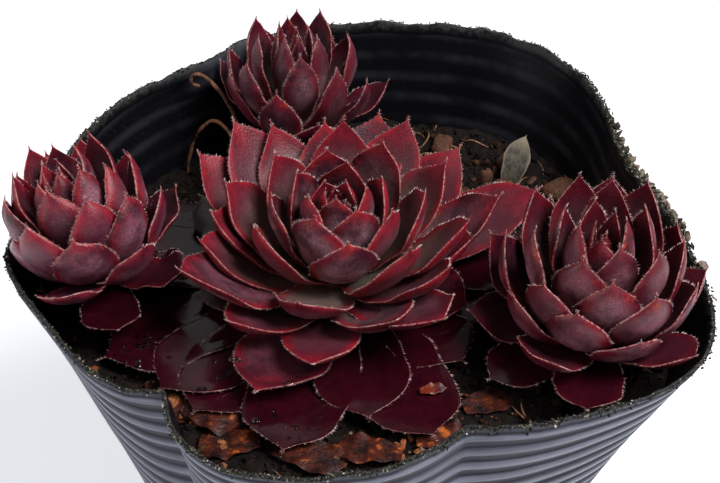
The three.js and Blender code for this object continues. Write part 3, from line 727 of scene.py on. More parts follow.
dry_fibre, fibre_tree, fibre_shader = new_material("dry_fibre", Roughness=0.75)
fibre_streaks = object_noise(fibre_tree, 0.5, 5.0, 0.7)
fibre_pale = remap(fibre_tree, fibre_streaks, 0.3, 0.7)
link(
    fibre_tree,
    fibre_shader,
    Base_Color=mix_colours(fibre_tree, fibre_pale, (0.11, 0.035, 0.012), (0.34, 0.16, 0.07)),
    Normal=bump(fibre_tree, fibre_streaks, 0.12, 0.8),
)
ROOTLETS = 170
ROOTLET_MARKS = 7
rootlet_random = np.random.default_rng(44)
rootlet_feet = scatter(ROOTLETS, 45)
rootlet_turn = rootlet_random.uniform(0, 2 * np.pi, ROOTLETS)[:, None]
rootlet_bend = rootlet_random.uniform(-2.2, 2.2, ROOTLETS)[:, None]
rootlet_long = rootlet_random.uniform(2.0, 6.5, ROOTLETS)[:, None]
rootlet_mark = np.linspace(-0.5, 0.5, ROOTLET_MARKS)[None]
rootlet_heading = rootlet_turn + rootlet_bend * rootlet_mark
rootlet_step = rootlet_long / (ROOTLET_MARKS - 1)
rootlet_x = rootlet_feet[:, :1] + np.cumsum(np.cos(rootlet_heading) * rootlet_step, 1)
rootlet_y = rootlet_feet[:, 1:2] + np.cumsum(np.sin(rootlet_heading) * rootlet_step, 1)
rootlet_reach = inner_radius(np.arctan2(rootlet_y, rootlet_x), SOIL_LEVEL) - 0.6
rootlet_pull = np.minimum(1, rootlet_reach / np.hypot(rootlet_x, rootlet_y))
rootlet_x, rootlet_y = rootlet_x * rootlet_pull, rootlet_y * rootlet_pull
rootlet_z = soil_height(rootlet_x, rootlet_y) + 0.35 + 0.35 * np.sin(3 * rootlet_heading)
rootlet_paths = np.stack([rootlet_x, rootlet_y, rootlet_z], -1)
rootlet_taper = 1 - 0.7 * np.abs(2 * rootlet_mark) ** 2
rootlet_radii = rootlet_random.uniform(0.07, 0.2, ROOTLETS)[:, None] * rootlet_taper
rootlet_points, rootlet_faces = cords(rootlet_paths, rootlet_radii)
rootlets = new_piece("rootlets", rootlet_points, rootlet_faces, [dry_fibre])
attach(rootlets, "root")


# =========================================================================== the rosettes
# One large mother rosette and three offsets. Each is a short fleshy stem that carries thick
# leaves a golden angle apart: old ones lie flat and blunt, young ones close over the bud.

GOLDEN_ANGLE = 137.508
# a leaf blunter than this is an old one
OLD_LEAF = 0.6
# what a leaf keeps clear of, in mm
LEAF_FLOOR = 77.0
WALL_CLEARANCE = 0.8
NEIGHBOUR_CLEARANCE = 0.4
GLOBE_SAG = 0.85
STEM_CLEARANCE = 1.2
RUNNER_CLEARANCE = 2.2
STEM_SUNK = 10.0
# a leaf that has no room is lifted in steps of degrees, and then shortened in steps of a share
FITTING_STEPS = 40
LIFT_STEP = 3
MOST_LIFT = 15
SHORTER = 0.95
LEAST_SHARE = 0.35

# age, root angle, tip angle, length, width, height of the root on the stem, bluntness
MOTHER_LEAVES = [
    (0, 0, 0, 41, 15.5, 1.6, 1),
    (0.1, 0, 0, 41, 15.5, 1.6, 1),
    (0.18, 0, 2, 38, 15.2, 1.7, 0.97),
    (0.24, 0, 6, 33.5, 14.8, 2, 0.85),
    (0.3, 0, 20, 32, 13.8, 2.5, 0.65),
    (0.36, 0, 33, 31, 12.8, 2.9, 0.5),
    (0.46, 1, 47, 28, 12, 3.3, 0.4),
    (0.54, 3, 57, 27, 11.6, 3.6, 0.35),
    (0.61, 7, 66, 25.5, 11.2, 3.8, 0.35),
    (0.68, 22, 82, 23, 11, 4, 0.35),
    (0.75, 34, 90, 21.5, 10.6, 4.1, 0.35),
    (0.86, 56, 96, 18.5, 9.5, 4.4, 0.3),
    (0.94, 76, 96, 17.5, 7.5, 4.6, 0.2),
    (1, 86, 94, 15, 4.5, 5, 0),
]
OFFSET_LEAVES = [
    (0, -3, -4, 17, 9.2, 0.6, 0.95),
    (0.1, -1, 6, 16.5, 9.2, 0.9, 0.8),
    (0.2, 2, 42, 16.5, 9.2, 1.4, 0.5),
    (0.32, 4, 76, 17.5, 9.2, 2, 0.4),
    (0.46, 8, 96, 19, 8.8, 2.6, 0.35),
    (0.6, 20, 102, 19.5, 8.2, 3.2, 0.3),
    (0.76, 44, 104, 19, 7.4, 3.8, 0.25),
    (0.9, 70, 100, 17.5, 5.8, 4.2, 0.15),
    (1, 86, 94, 15, 3.5, 4.6, 0),
]
# base, neck radius, the lean and where it points, number of leaves, azimuth of the first leaf,
# seed of the draws and scale of the table. An offset keeps inside its globe and above its foot.
ROSETTES = {
    "mother": dict(
        base=(-3.5, -3, 76.5), stem=4, lean_towards=270, lean=8, leaves=68, first=239, seed=1,
        scale=1, stages=MOTHER_LEAVES, longest_towards=235, far_side_shortening=0.35,
    ),
    "left": dict(
        base=(-40.5, -7, 80.6), stem=2.5, lean_towards=145, lean=20, leaves=40, first=17, seed=5,
        scale=1.05, stages=OFFSET_LEAVES, globe=((-42, -5.5, 91), 18.5), foot=79.8,
        taller_towards=70, short_side=0.15,
    ),
    "right": dict(
        base=(34.5, -20, 80), stem=2.5, lean_towards=270, lean=0, leaves=42, first=75, seed=9,
        scale=1.18, stages=OFFSET_LEAVES, globe=((34.5, -22, 92), 20.5), foot=79,
        taller_towards=90, short_side=0.22,
    ),
    "back": dict(
        base=(-11, 31, 82), stem=2.5, lean_towards=90, lean=3, leaves=32, first=132, seed=13,
        scale=1, slim=0.8, stages=OFFSET_LEAVES, globe=((-11, 31, 93.5), 17), foot=79,
    ),
}
# points along the two dry runners, which the leaves keep clear of
CURL_ROUTE = [
    (-18.8, 27.8, 72), (-18.8, 27.8, 77.5), (-20.5, 29.5, 84), (-23, 31, 89.5),
    (-26, 32, 93), (-28.2, 32.3, 93.4), (-28.6, 32.4, 91.8), (-27.2, 32.2, 91.2),
]
ARCH_ROUTE = [
    (-20, 25, 72), (-20, 25, 77.5), (-21.5, 27, 83.5), (-24.5, 28.8, 86.4),
    (-27.6, 29.2, 84), (-29.8, 29, 78), (-29.8, 28.9, 73),
]
runner_marks = np.concatenate(
    [
        (start + mix * (np.array(end) - start))[None]
        for route in (CURL_ROUTE, ARCH_ROUTE)
        for start, end in zip(np.array(route), route[1:])
        for mix in (0, 0.25, 0.5, 0.75)
    ]
)


def draw(index, stream):
    """A number from 0 to 1 that depends only on its two whole arguments."""
    value = math.sin(index * 12.9898 + stream * 78.233) * 43758.5453
    return value - math.floor(value)


def spread(index, stream, reach):
    """A draw from -reach to reach."""
    return 2 * reach * (draw(index, stream) - 0.5)


def leaf_shoulder(blunt):
    """The share of a leaf's length where it is widest, further out on a blunt leaf."""
    return 0.56 + 0.12 * blunt


def outline(share, blunt):
    """Half width over the greatest: a foot that widens to the shoulder, a blade, then a cusp."""
    shoulder = leaf_shoulder(blunt)
    foot = 0.5 + 0.5 * np.sin(np.pi / 2 * np.clip(share / shoulder, 0, 1))
    closing = np.clip((share - shoulder) / (0.95 - shoulder), 0, 1)
    blade = np.cos(np.pi / 2 * closing ** (1.0 + 1.25 * blunt))
    cusp = np.clip((1 - share) / (1 - shoulder), 0, 1)
    cusp_share = 0.42 - 0.3 * blunt
    return np.where(share < shoulder, foot, (1 - cusp_share) * blade + cusp_share * cusp)


def leaf_surface(leaf, share, around, wave=0.0):
    """Points of a leaf that grows along +X, for shares of its length and angles round its section.

    The midrib is an arc from the root angle to the tip angle. The section is a fat crescent:
    thin above, keeled below, margins raised. `wave` is the height in mm of the waves along its
    edge, which also runs in and out by a small share of the width.
    """
    root_angle = math.radians(leaf["root_angle"])
    bend = math.radians(leaf["tip_angle"]) - root_angle or 1e-6
    share, around = share[:, None], around[None]
    angle = root_angle + bend * share
    x = leaf["root_radius"] + leaf["length"] * (np.sin(angle) - math.sin(root_angle)) / bend
    z = leaf["root_height"] - leaf["length"] * (np.cos(angle) - math.cos(root_angle)) / bend
    fullness = outline(share, leaf["blunt"])
    half_width = leaf["width"] / 2 * fullness
    edgeward, upward = np.cos(around), np.sin(around)
    if wave:
        phase = 6.3 * leaf["tone"] + 2.0 * np.sign(edgeward)
        notches = 0.5 * np.sin(11 * share + 3 * phase) + 0.3 * np.sin(29 * share + 7 * phase)
        half_width = half_width * (1 + 0.05 * notches * edgeward**2)
    thinning = np.clip((1 - share) * 6, 0.02, 1) ** 0.5
    thickness = leaf["thickness"] * (0.35 + 0.65 * fullness) * thinning
    face = np.where(upward > 0, 0.25 * upward, -0.75 * np.abs(upward) ** 0.9)
    cup = (0.3 - 0.22 * leaf["blunt"]) * half_width * edgeward**2
    wavy = 0.0
    if wave:
        wavy = np.sin(17 * share + phase) * np.clip(share * 2, 0, 1)
        wavy = wave * wavy * np.abs(edgeward) ** 3
    roll = math.radians(leaf["roll"])
    across = half_width * edgeward
    off = thickness * face + cup + wavy * fullness
    y = across * math.cos(roll) - off * math.sin(roll)
    lift = across * math.sin(roll) + off * math.cos(roll)
    return np.stack([x - np.sin(angle) * lift, y, z + np.cos(angle) * lift], -1)


def leaf_thickness(width, blunt):
    """In mm: it goes with the root of the width, and a blunt old leaf is half as thick."""
    return 2.1 * math.sqrt(width / 12) * (1 - 0.5 * blunt)


def is_free(points, name):
    """Whether points are inside the rosette's own globe and clear of all that stands round it."""
    x, y, z = points.reshape(-1, 3).T
    azimuth, radius = np.arctan2(y, x), np.hypot(x, y)
    beside_wall = z < rim_height(azimuth) + 1
    if np.any(beside_wall & (radius > inner_radius(azimuth, z) - WALL_CLEARANCE)):
        return False
    if np.any(z < LEAF_FLOOR):
        return False
    for other, rosette in ROSETTES.items():
        if "globe" not in rosette:
            continue
        (middle_x, middle_y, middle_z), reach = rosette["globe"]
        rise = z - middle_z
        rise = np.where(rise < 0, GLOBE_SAG * rise, rise)
        distance = np.sqrt((x - middle_x) ** 2 + (y - middle_y) ** 2 + rise**2)
        foot = rosette["foot"]
        if other == name:
            taken = (distance > reach) | (z < foot)
        else:
            taken = (distance < reach + NEIGHBOUR_CLEARANCE) & (z > foot - NEIGHBOUR_CLEARANCE)
            stem_x, stem_y, _ = rosette["base"]
            taken |= np.hypot(x - stem_x, y - stem_y) < rosette["stem"] + STEM_CLEARANCE
        if np.any(taken):
            return False
    gaps = np.linalg.norm(points.reshape(-1, 1, 3) - runner_marks, axis=2)
    return bool(np.all(gaps > RUNNER_CLEARANCE))


PROBES = np.array([0.35, 0.5, 0.6, 0.7, 0.8, 0.9, 1])
QUARTERS = np.array([0, 0.5, 1, 1.5]) * np.pi


def fitted(leaf, place, name):
    """Tips a leaf up in steps, then shortens it, until it is clear. None where none would fit."""
    lift, share = 0, 1.0
    for _ in range(FITTING_STEPS):
        candidate = dict(
            leaf,
            root_angle=leaf["root_angle"] + lift,
            tip_angle=leaf["tip_angle"] + lift,
            length=leaf["length"] * share,
            width=leaf["width"] * (0.4 + 0.6 * share),
        )
        if is_free(place(leaf_surface(candidate, PROBES, QUARTERS)), name):
            return candidate if share >= LEAST_SHARE else None
        if leaf["blunt"] > OLD_LEAF or lift >= MOST_LIFT:
            share *= SHORTER
        else:
            lift += LIFT_STEP
    return None


def placing(turn, lean_towards, lean, base):
    """A function that turns points about +Z, leans them about a level axis and moves them."""
    turn, towards, lean = (math.radians(angle) for angle in (turn, lean_towards, lean))
    spin = Matrix.Rotation(turn, 3, "Z")
    tilt = Matrix.Rotation(lean, 3, Vector((-math.sin(towards), math.cos(towards), 0)))
    matrix = np.array(tilt @ spin)
    return lambda points: points @ matrix.T + np.array(base)


LEAF_ALONG = 26
LEAF_AROUND = 20
LEAF_POINTS = LEAF_ALONG * LEAF_AROUND + 2
leaf_shares = 1 - (1 - np.linspace(0, 0.985, LEAF_ALONG)) ** 1.35
leaf_turns = np.linspace(0, 2 * np.pi, LEAF_AROUND, endpoint=False)
# points gather towards the two margins, where the section is sharpest
leaf_turns = leaf_turns - 0.25 * np.sin(2 * leaf_turns)


def edge_wave(leaf):
    """The height in mm of the waves along a leaf's edge, highest on some of the blunt ones."""
    return 0.12 + 0.45 * leaf["blunt"] * leaf["tone"]


def dented(points):
    """Points moved by up to about 0.2 mm by ripples 9 mm long."""
    return points + 0.22 * ripple_push(points, 9, 51)


def fine_leaf(leaf, place):
    """The points of a fine leaf, and for each the facts that its colour is worked out from.

    The place facts are the share of the length, the distance in mm from the margin, and 1 on
    the upper face or 0 on the lower one. The kind facts are the leaf's tone, age and bluntness.
    """
    body = leaf_surface(leaf, leaf_shares, leaf_turns, edge_wave(leaf))
    root = body[0].mean(0)
    tip = leaf_surface(leaf, np.array([1.0]), np.array([1.5 * np.pi]))[0, 0]
    points = dented(place(np.vstack([body.reshape(-1, 3), root, tip])))
    half_width = leaf["width"] / 2 * outline(leaf_shares, leaf["blunt"])
    inward = half_width[:, None] * (1 - np.abs(np.cos(leaf_turns)))
    upper = 0.5 + 0.5 * np.clip(3 * np.sin(leaf_turns), -1, 1)
    shares = np.repeat(leaf_shares, LEAF_AROUND)
    where = np.column_stack([shares, inward.ravel(), np.tile(upper, LEAF_ALONG)])
    where = np.vstack([where, [0, half_width[0], 0.5], [1, 0, 0.5]])
    kind = np.tile([leaf["tone"], leaf["age"], leaf["blunt"]], (LEAF_POINTS, 1))
    return points, where, kind


HAIR_SPACING = 0.23
HAIR_LENGTH = 0.4
HAIR_RADIUS = 0.035
HAIR_SUNK = 0.08
HAIR_CLEARANCE = 0.02


def margin_hairs(leaf, place, seed):
    """Feet and tips in mm of the stiff white hairs along both margins and round the point.

    Each hair points outward and a little forward, and is turned and shortened at random.
    """
    random = np.random.default_rng(seed)
    count = int(leaf["length"] * 0.85 / HAIR_SPACING)
    shares = np.sort(random.uniform(0.2, 0.995, count))
    shares[-5:] = random.uniform(0.96, 1.0, 5)
    wave = edge_wave(leaf)
    base = place(np.zeros(3))
    feet, tips = [], []
    for turn in (0.0, math.pi):
        margin = leaf_surface(leaf, shares, np.array([turn]), wave)[:, 0]
        further = leaf_surface(leaf, shares + 0.01, np.array([turn]), wave)[:, 0]
        forward = further - margin
        forward /= np.linalg.norm(forward, axis=1, keepdims=True) + 1e-9
        outward = np.array([0, math.cos(turn), 0])
        heading = outward + forward * random.uniform(0.2, 1.0, (count, 1))
        heading = heading + random.normal(scale=0.25, size=(count, 3))
        heading /= np.linalg.norm(heading, axis=1, keepdims=True)
        reach = HAIR_LENGTH * random.uniform(0.55, 1.25, (count, 1))
        foot = dented(place(margin))
        feet.append(foot + place(-HAIR_SUNK * outward) - base)
        tips.append(foot + place(heading * reach) - base)
    return np.concatenate(feet), np.concatenate(tips)


def hair_mesh(feet, tips):
    """A slim three-sided spike on every foot, closed underneath."""
    along = tips - feet
    along /= np.linalg.norm(along, axis=1, keepdims=True)
    side = np.cross(along, np.where(np.abs(along[:, 2:]) > 0.9, [1.0, 0, 0], [0, 0, 1.0]))
    side /= np.linalg.norm(side, axis=1, keepdims=True)
    other = np.cross(along, side)
    turns = np.arange(3) * 2 * np.pi / 3
    wheel = np.cos(turns)[:, None] * side[:, None] + np.sin(turns)[:, None] * other[:, None]
    points = np.concatenate([feet[:, None] + HAIR_RADIUS * wheel, tips[:, None]], 1)
    faces = np.array([[0, 1, 3], [1, 2, 3], [2, 0, 3], [2, 1, 0]])
    faces = faces + 4 * np.arange(len(feet))[:, None, None]
    return points.reshape(-1, 3), faces.reshape(-1, 3)


CORE_AROUND = 24


def stem_rings(rosette, place):
    """The bulb that carries the leaves and the neck under it, as rings from the neck up."""
    radius, scale = rosette["stem"], rosette["scale"]
    turns = np.linspace(0, 2 * np.pi, CORE_AROUND, endpoint=False)
    x, y, z = rosette["base"]
    neck = [
        np.stack([x + radius * np.cos(turns), y + radius * np.sin(turns), 0 * turns + low], -1)
        for low in (SOIL_LEVEL - STEM_SUNK, z)
    ]
    profile = [(1.5, 2 * scale), (1.3, 5 * scale), (0.5, 8 * scale), (0.05, 9 * scale)]
    bulb = [place(round_points(radius * share, turns, height)) for share, height in profile]
    return neck + bulb


def new_group(name, inputs, outputs):
    """A shader node group. Inputs map names to defaults, outputs map names to socket kinds."""
    group = bpy.data.node_groups.new(name, "ShaderNodeTree")
    for key, default in inputs.items():
        kind = "NodeSocketColor" if isinstance(default, tuple) else "NodeSocketFloat"
        socket = group.interface.new_socket(key, in_out="INPUT", socket_type=kind)
        socket.default_value = (*default, 1) if isinstance(default, tuple) else default
    for key, kind in outputs.items():
        group.interface.new_socket(key, in_out="OUTPUT", socket_type="NodeSocket" + kind)
    return group, group.nodes.new("NodeGroupInput").outputs, group.nodes.new("NodeGroupOutput")


# The leaf skin: blotched blood red towards margins and point, dusty with a grainy mauve bloom on
# the back, olive low down inside the rosette, with painted shade on the upper faces and in the
# bud and painted light shining through in orange-red spots. Old flat leaves are bare, dark, wet
# and glossy.
skin_group, skin_in, skin_out = new_group(
    "leaf_skin",
    {
        "Body Color": (0.130, 0.011, 0.023),
        "Dark Color": (0.022, 0.002, 0.009),
        "Margin Color": (0.270, 0.009, 0.020),
        "Through Light Color": (0.360, 0.035, 0.012),
        "Bloom Color": (0.42, 0.215, 0.265),
        "Root Color": (0.17, 0.145, 0.105),
        "Old Color": (0.027, 0.002, 0.005),
        "Line Color": (0.38, 0.16, 0.15),
        "Bloom": 0.7,
        "Green": 0.6,
    },
    {"Color": "Color", "Roughness": "Float", "Height": "Float"},
)
skin_share, skin_inward, skin_upper = point_fact(skin_group, "leaf_place")
skin_tone, skin_age, skin_blunt = point_fact(skin_group, "leaf_kind")
skin_cloud = object_noise(skin_group, 4.5, 4.0, 0.6)
skin_blotch = object_noise(skin_group, 2.2, 6.0, 0.7)
skin_fleck = object_noise(skin_group, 0.28, 2.0, 0.6)
skin_old = remap(skin_group, skin_blunt, 0.5, 0.85)
skin_young = calculate(skin_group, "SUBTRACT", 1.0, skin_old)

# the body is dark in blotches, and its upper face and the young leaves of the bud are darkened
# as painted shade, where the leaves close over each other
dark_blotch = remap(skin_group, skin_blotch, 0.5, 0.3, 0.0, 0.75)
bud_painted_shade = remap(skin_group, skin_age, 0.72, 0.95, 0.0, 0.7)
dark_blotch_and_shade = calculate(skin_group, "MAXIMUM", dark_blotch, bud_painted_shade)
face_painted_shade = calculate(skin_group, "MULTIPLY", skin_upper, 0.55)
dark_blotch_and_shade = calculate(skin_group, "MAXIMUM", dark_blotch_and_shade, face_painted_shade)
skin_colour = mix_colours(
    skin_group, dark_blotch_and_shade, skin_in["Body Color"], skin_in["Dark Color"]
)

# the olive shows low on a leaf, most of all on its upper face
green_cover = product(
    skin_group,
    remap(skin_group, skin_share, 0.86, 0.3),
    remap(skin_group, skin_upper, 0.2, 0.8, 0.4, 1.0),
    remap(skin_group, skin_blotch, 0.3, 0.62, 0.5, 1.0),
    remap(skin_group, skin_age, 0.42, 0.66, 0.05, 1.0),
    skin_in["Green"],
    skin_young,
)
skin_colour = mix_colours(skin_group, green_cover, skin_colour, skin_in["Root Color"])

# the red runs along the margins and fills the point
red_blotch = remap(skin_group, skin_blotch, 0.34, 0.6, 0.35, 1.0)
red_cover = product(
    skin_group,
    calculate(
        skin_group,
        "MAXIMUM",
        remap(skin_group, skin_inward, 2.2, 0.1),
        remap(skin_group, skin_share, 0.7, 0.97),
    ),
    red_blotch,
    remap(skin_group, skin_age, 0.2, 0.45, 0.6, 1.0),
)
skin_colour = mix_colours(skin_group, red_cover, skin_colour, skin_in["Margin Color"])

# some leaves have a dark smoky band under the point
band_cover = product(
    skin_group,
    remap(skin_group, skin_share, 0.45, 0.7),
    remap(skin_group, skin_share, 0.98, 0.84),
    remap(skin_group, skin_tone, 0.3, 0.8, 0.0, 0.85),
    remap(skin_group, skin_cloud, 0.62, 0.42),
)
skin_colour = mix_colours(skin_group, band_cover, skin_colour, skin_in["Dark Color"])

# and spots where the red is full are painted orange-red, as painted light shining through the
# leaf
through_light_cover = product(
    skin_group,
    remap(skin_group, skin_blotch, 0.56, 0.68),
    remap(skin_group, skin_tone, 0.45, 0.9),
    red_cover,
)
skin_colour = mix_colours(skin_group, through_light_cover, skin_colour, skin_in["Through Light Color"])

# the bloom lies on the middle of the back, thins in clouds towards margin and point, and is
# broken up into grains
bloom_cover = product(
    skin_group,
    remap(skin_group, skin_inward, 0.2, 2.6),
    remap(skin_group, skin_share, 0.95, 0.62),
    remap(skin_group, skin_cloud, 0.32, 0.6, 0.25, 1.15),
    skin_young,
    remap(skin_group, skin_upper, 0.2, 0.8, 1.0, 0.2),
    remap(skin_group, skin_tone, 0.0, 1.0, 0.2, 1.2, "LINEAR"),
    remap(skin_group, skin_fleck, 0.32, 0.66, 0.7, 1.05),
    skin_in["Bloom"],
)
skin_colour = mix_colours(skin_group, bloom_cover, skin_colour, skin_in["Bloom Color"])

# old leaves have only their own dark red, and a fine grain varies the whole skin
old_colour = mix_colours(
    skin_group, red_blotch, (0.012, 0.001, 0.004), skin_in["Old Color"]
)
skin_colour = mix_colours(skin_group, skin_old, skin_colour, old_colour)
grain_level = remap(skin_group, skin_fleck, 0.3, 0.7, 0.82, 1.18)
grain_colour = add_node(
    skin_group, "ShaderNodeCombineColor", {0: grain_level, 1: grain_level, 2: grain_level}
).outputs[0]
skin_colour = mix_colours(skin_group, 1.0, skin_colour, grain_colour, "MULTIPLY")

# a hair-thin pale line of beads follows the very margin
line_cover = product(
    skin_group,
    remap(skin_group, skin_inward, 0.085, 0.02),
    remap(skin_group, skin_share, 0.15, 0.3),
    remap(skin_group, object_noise(skin_group, 0.5, 2.0, 0.5), 0.40, 0.60, 0.08, 1.0),
)
skin_colour = mix_colours(skin_group, line_cover, skin_colour, skin_in["Line Color"])

# the old leaves are wet above and others in patches; the bloom is dull and stands up in grains
wet_patch = product(
    skin_group,
    remap(skin_group, skin_cloud, 0.46, 0.58),
    remap(skin_group, skin_age, 0.6, 0.3),
)
wet_flat = calculate(skin_group, "MULTIPLY", skin_old, skin_upper)
skin_wet = calculate(skin_group, "MAXIMUM", wet_flat, wet_patch)
skin_rough = mix_colours(skin_group, bloom_cover, (0.42, 0.42, 0.42), (0.7, 0.7, 0.7))
skin_rough = mix_colours(skin_group, skin_wet, skin_rough, (0.17, 0.17, 0.17))
skin_grains = calculate(skin_group, "MULTIPLY", skin_fleck, skin_young)
skin_dents = mix_colours(skin_group, skin_old, skin_blotch, skin_cloud)
skin_height = mix_colours(skin_group, 0.5, skin_grains, skin_dents)
skin_group.links.new(skin_colour, skin_out.inputs["Color"])
skin_group.links.new(skin_rough, skin_out.inputs["Roughness"])
skin_group.links.new(skin_height, skin_out.inputs["Height"])


def leaf_material(name, **values):
    """A leaf material: the leaf skin with this rosette's own colours and shares."""
    material, tree, shader = new_material(
        name,
        Specular_IOR_Level=0.4,
        Subsurface_Weight=0.08,
        Subsurface_Scale=0.0012,
        Subsurface_Radius=(1.0, 0.15, 0.1),
    )
    group = tree.nodes.new("ShaderNodeGroup")
    group.node_tree = skin_group
    for key, value in values.items():
        value = (*value, 1) if isinstance(value, tuple) else value
        group.inputs[key.replace("_", " ")].default_value = value
    skin = group.outputs
    link(
        tree,
        shader,
        Base_Color=skin["Color"],
        Roughness=skin["Roughness"],
        Normal=bump(tree, skin["Height"], 0.2, 0.75),
    )
    return material


hair_matter, hair_tree, hair_shader = new_material("white_hairs", Roughness=0.55)
hair_fade = remap(hair_tree, object_noise(hair_tree, 2.0), 0.35, 0.65)
link(
    hair_tree,
    hair_shader,
    Base_Color=mix_colours(hair_tree, hair_fade, (0.34, 0.15, 0.15), (0.72, 0.58, 0.56)),
)

LEAF_LOOKS = {
    "mother": dict(Green=0.95, Bloom=0.95),
    "left": dict(
        Green=0.25,
        Bloom=0.62,
        Body_Color=(0.090, 0.009, 0.024),
        Bloom_Color=(0.34, 0.14, 0.195),
    ),
    "right": dict(
        Green=0.3,
        Bloom=0.68,
        Body_Color=(0.070, 0.006, 0.014),
        Margin_Color=(0.15, 0.006, 0.014),
        Bloom_Color=(0.37, 0.14, 0.18),
    ),
    # the back rosette's darker body and margin colours are painted shade, for the dimmer light at
    # the back
    "back": dict(
        Green=0.7,
        Bloom=0.36,
        Body_Color=(0.070, 0.008, 0.018),
        Margin_Color=(0.15, 0.007, 0.018),
    ),
}


def leaf_at(rosette, index):
    """One leaf's sizes, blended from its rosette's table by its age, and the azimuth it takes.

    Leaves on the far side or the short side are shorter by up to the share the rosette gives.
    """
    seed, scale = rosette["seed"], rosette["scale"]
    stages = np.array(rosette["stages"], float)
    age = (index + 0.5) / rosette["leaves"]
    root_angle, tip_angle, length, width, root_height, blunt = (
        float(np.interp(age, stages[:, 0], stages[:, column])) for column in range(1, 7)
    )
    turn = rosette["first"] + index * GOLDEN_ANGLE + spread(index, seed, 4.5)
    far_side = (1 - math.cos(math.radians(turn - rosette.get("longest_towards", 0)))) / 2
    shortening = rosette.get("far_side_shortening", 0) * far_side if blunt > OLD_LEAF else 0
    short_side = (1 - math.cos(math.radians(turn - rosette.get("taller_towards", 0)))) / 2
    shortening += rosette.get("short_side", 0) * short_side * (1 - blunt)
    width *= scale * rosette.get("slim", 1) * (1 + spread(index, seed + 5, 0.05))
    loose = 1 - 0.8 * blunt
    leaf = dict(
        root_radius=rosette["stem"] * (1 - 0.7 * age),
        root_height=root_height * scale,
        root_angle=root_angle + spread(index, seed + 1, 2.5) * loose,
        tip_angle=tip_angle + spread(index, seed + 2, 4.5) * loose,
        length=length * scale * (1 + spread(index, seed + 3, 0.06)) * (1 - shortening),
        width=width,
        thickness=leaf_thickness(width, blunt),
        blunt=blunt,
        roll=spread(index, seed + 4, 7) * loose,
        tone=draw(index, seed + 6),
        age=age,
    )
    return leaf, turn


for rosette_name, rosette in ROSETTES.items():
    leaf_points, leaf_where, leaf_kind, leaf_faces = [], [], [], []
    hair_feet, hair_tips = [], []
    for index in range(rosette["leaves"]):
        leaf, turn = leaf_at(rosette, index)
        lean = rosette["lean"] * (1 - leaf["blunt"] ** 2)
        place = placing(turn, rosette["lean_towards"], lean, rosette["base"])
        grown = fitted(leaf, place, rosette_name)
        if grown is None:
            continue
        points, where, kind = fine_leaf(grown, place)
        leaf_faces += closed_rings(LEAF_ALONG, LEAF_AROUND, len(leaf_points) * LEAF_POINTS)
        leaf_points.append(points)
        leaf_where.append(where)
        leaf_kind.append(kind)
        feet, tips = margin_hairs(grown, place, 1000 * rosette["seed"] + index)
        hair_feet.append(feet)
        hair_tips.append(tips)

    core_place = placing(0, rosette["lean_towards"], rosette["lean"], rosette["base"])
    core_rings = stem_rings(rosette, core_place)
    core_points = np.vstack([*core_rings, core_rings[0].mean(0), core_rings[-1].mean(0)])
    core_start = len(leaf_points) * LEAF_POINTS
    leaf_faces += closed_rings(len(core_rings), CORE_AROUND, core_start)
    leaf_points.append(core_points)
    # the core is coloured as the foot of a middling leaf
    leaf_where.append(np.tile([0.1, 3.0, 0.5], (len(core_points), 1)))
    leaf_kind.append(np.tile([0.5, 0.5, 0.3], (len(core_points), 1)))
    fine_rosette = new_piece(
        f"leaves_{rosette_name}",
        np.concatenate(leaf_points),
        leaf_faces,
        [leaf_material(f"leaf_skin_{rosette_name}", **LEAF_LOOKS[rosette_name])],
        facts={
            "leaf_place": np.concatenate(leaf_where),
            "leaf_kind": np.concatenate(leaf_kind),
        },
    )
    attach(fine_rosette, "root")
    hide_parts(f"rosette_{rosette_name}")

    # a hair stays only where it stands in the open, outside every other leaf
    feet, tips = np.concatenate(hair_feet), np.concatenate(hair_tips)
    leaf_tree = BVHTree.FromPolygons(
        np.concatenate(leaf_points).tolist(),
        [face for block in leaf_faces for face in block.tolist()],
    )
    hair_middles = feet + 0.5 * (tips - feet)
    nearest = [leaf_tree.find_nearest(Vector(middle)) for middle in hair_middles]
    spots = np.array([found[0] for found in nearest])
    normals = np.array([found[1] for found in nearest])
    free = np.sum((hair_middles - spots) * normals, axis=1) > HAIR_CLEARANCE
    hair_points, hair_faces = hair_mesh(feet[free], tips[free])
    hairs = new_piece(
        f"hairs_{rosette_name}", hair_points, [hair_faces], [hair_matter], smooth=False
    )
    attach(hairs, "root")


# =========================================================================== stolons
# The offsets hang on to the mother by fleshy runners under the compost. They are brown and
# corky, with fine cracks round them.

stolon_cork, cork_tree, cork_shader = new_material("stolon_cork", Roughness=0.8)
cork_cracks = object_noise(cork_tree, 0.7, 6.0, 0.7)
cork_shade = remap(cork_tree, cork_cracks, 0.35, 0.65)
link(
    cork_tree,
    cork_shader,
    Base_Color=mix_colours(cork_tree, cork_shade, (0.09, 0.035, 0.016), (0.34, 0.19, 0.10)),
    Normal=bump(cork_tree, cork_cracks, 0.2, 0.8),
)
for stolon in ("stolon_left", "stolon_right", "stolon_back"):
    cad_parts[stolon].material_slots[0].material = stolon_cork


# =========================================================================== dry runners
# Two runners have lost their offsets and dried to thin brown strings. They rise beside the back
# rosette: one curls over at its end, the other arches back down to the compost.

def smooth_path(route, steps):
    """A Catmull-Rom path through the route: each step mixes four successive points by cubics."""
    route = np.array(route, float)
    padded = np.vstack([2 * route[0] - route[1], route, 2 * route[-1] - route[-2]])
    mix = np.linspace(0, 1, steps, endpoint=False)[:, None, None]
    before, start, end, after = padded[:-3], padded[1:-2], padded[2:-1], padded[3:]
    path = 0.5 * (
        2 * start
        + (end - before) * mix
        + (2 * before - 5 * start + 4 * end - after) * mix**2
        + (3 * start - before - 3 * end + after) * mix**3
    )
    return np.vstack([path.transpose(1, 0, 2).reshape(-1, 3), route[-1]])


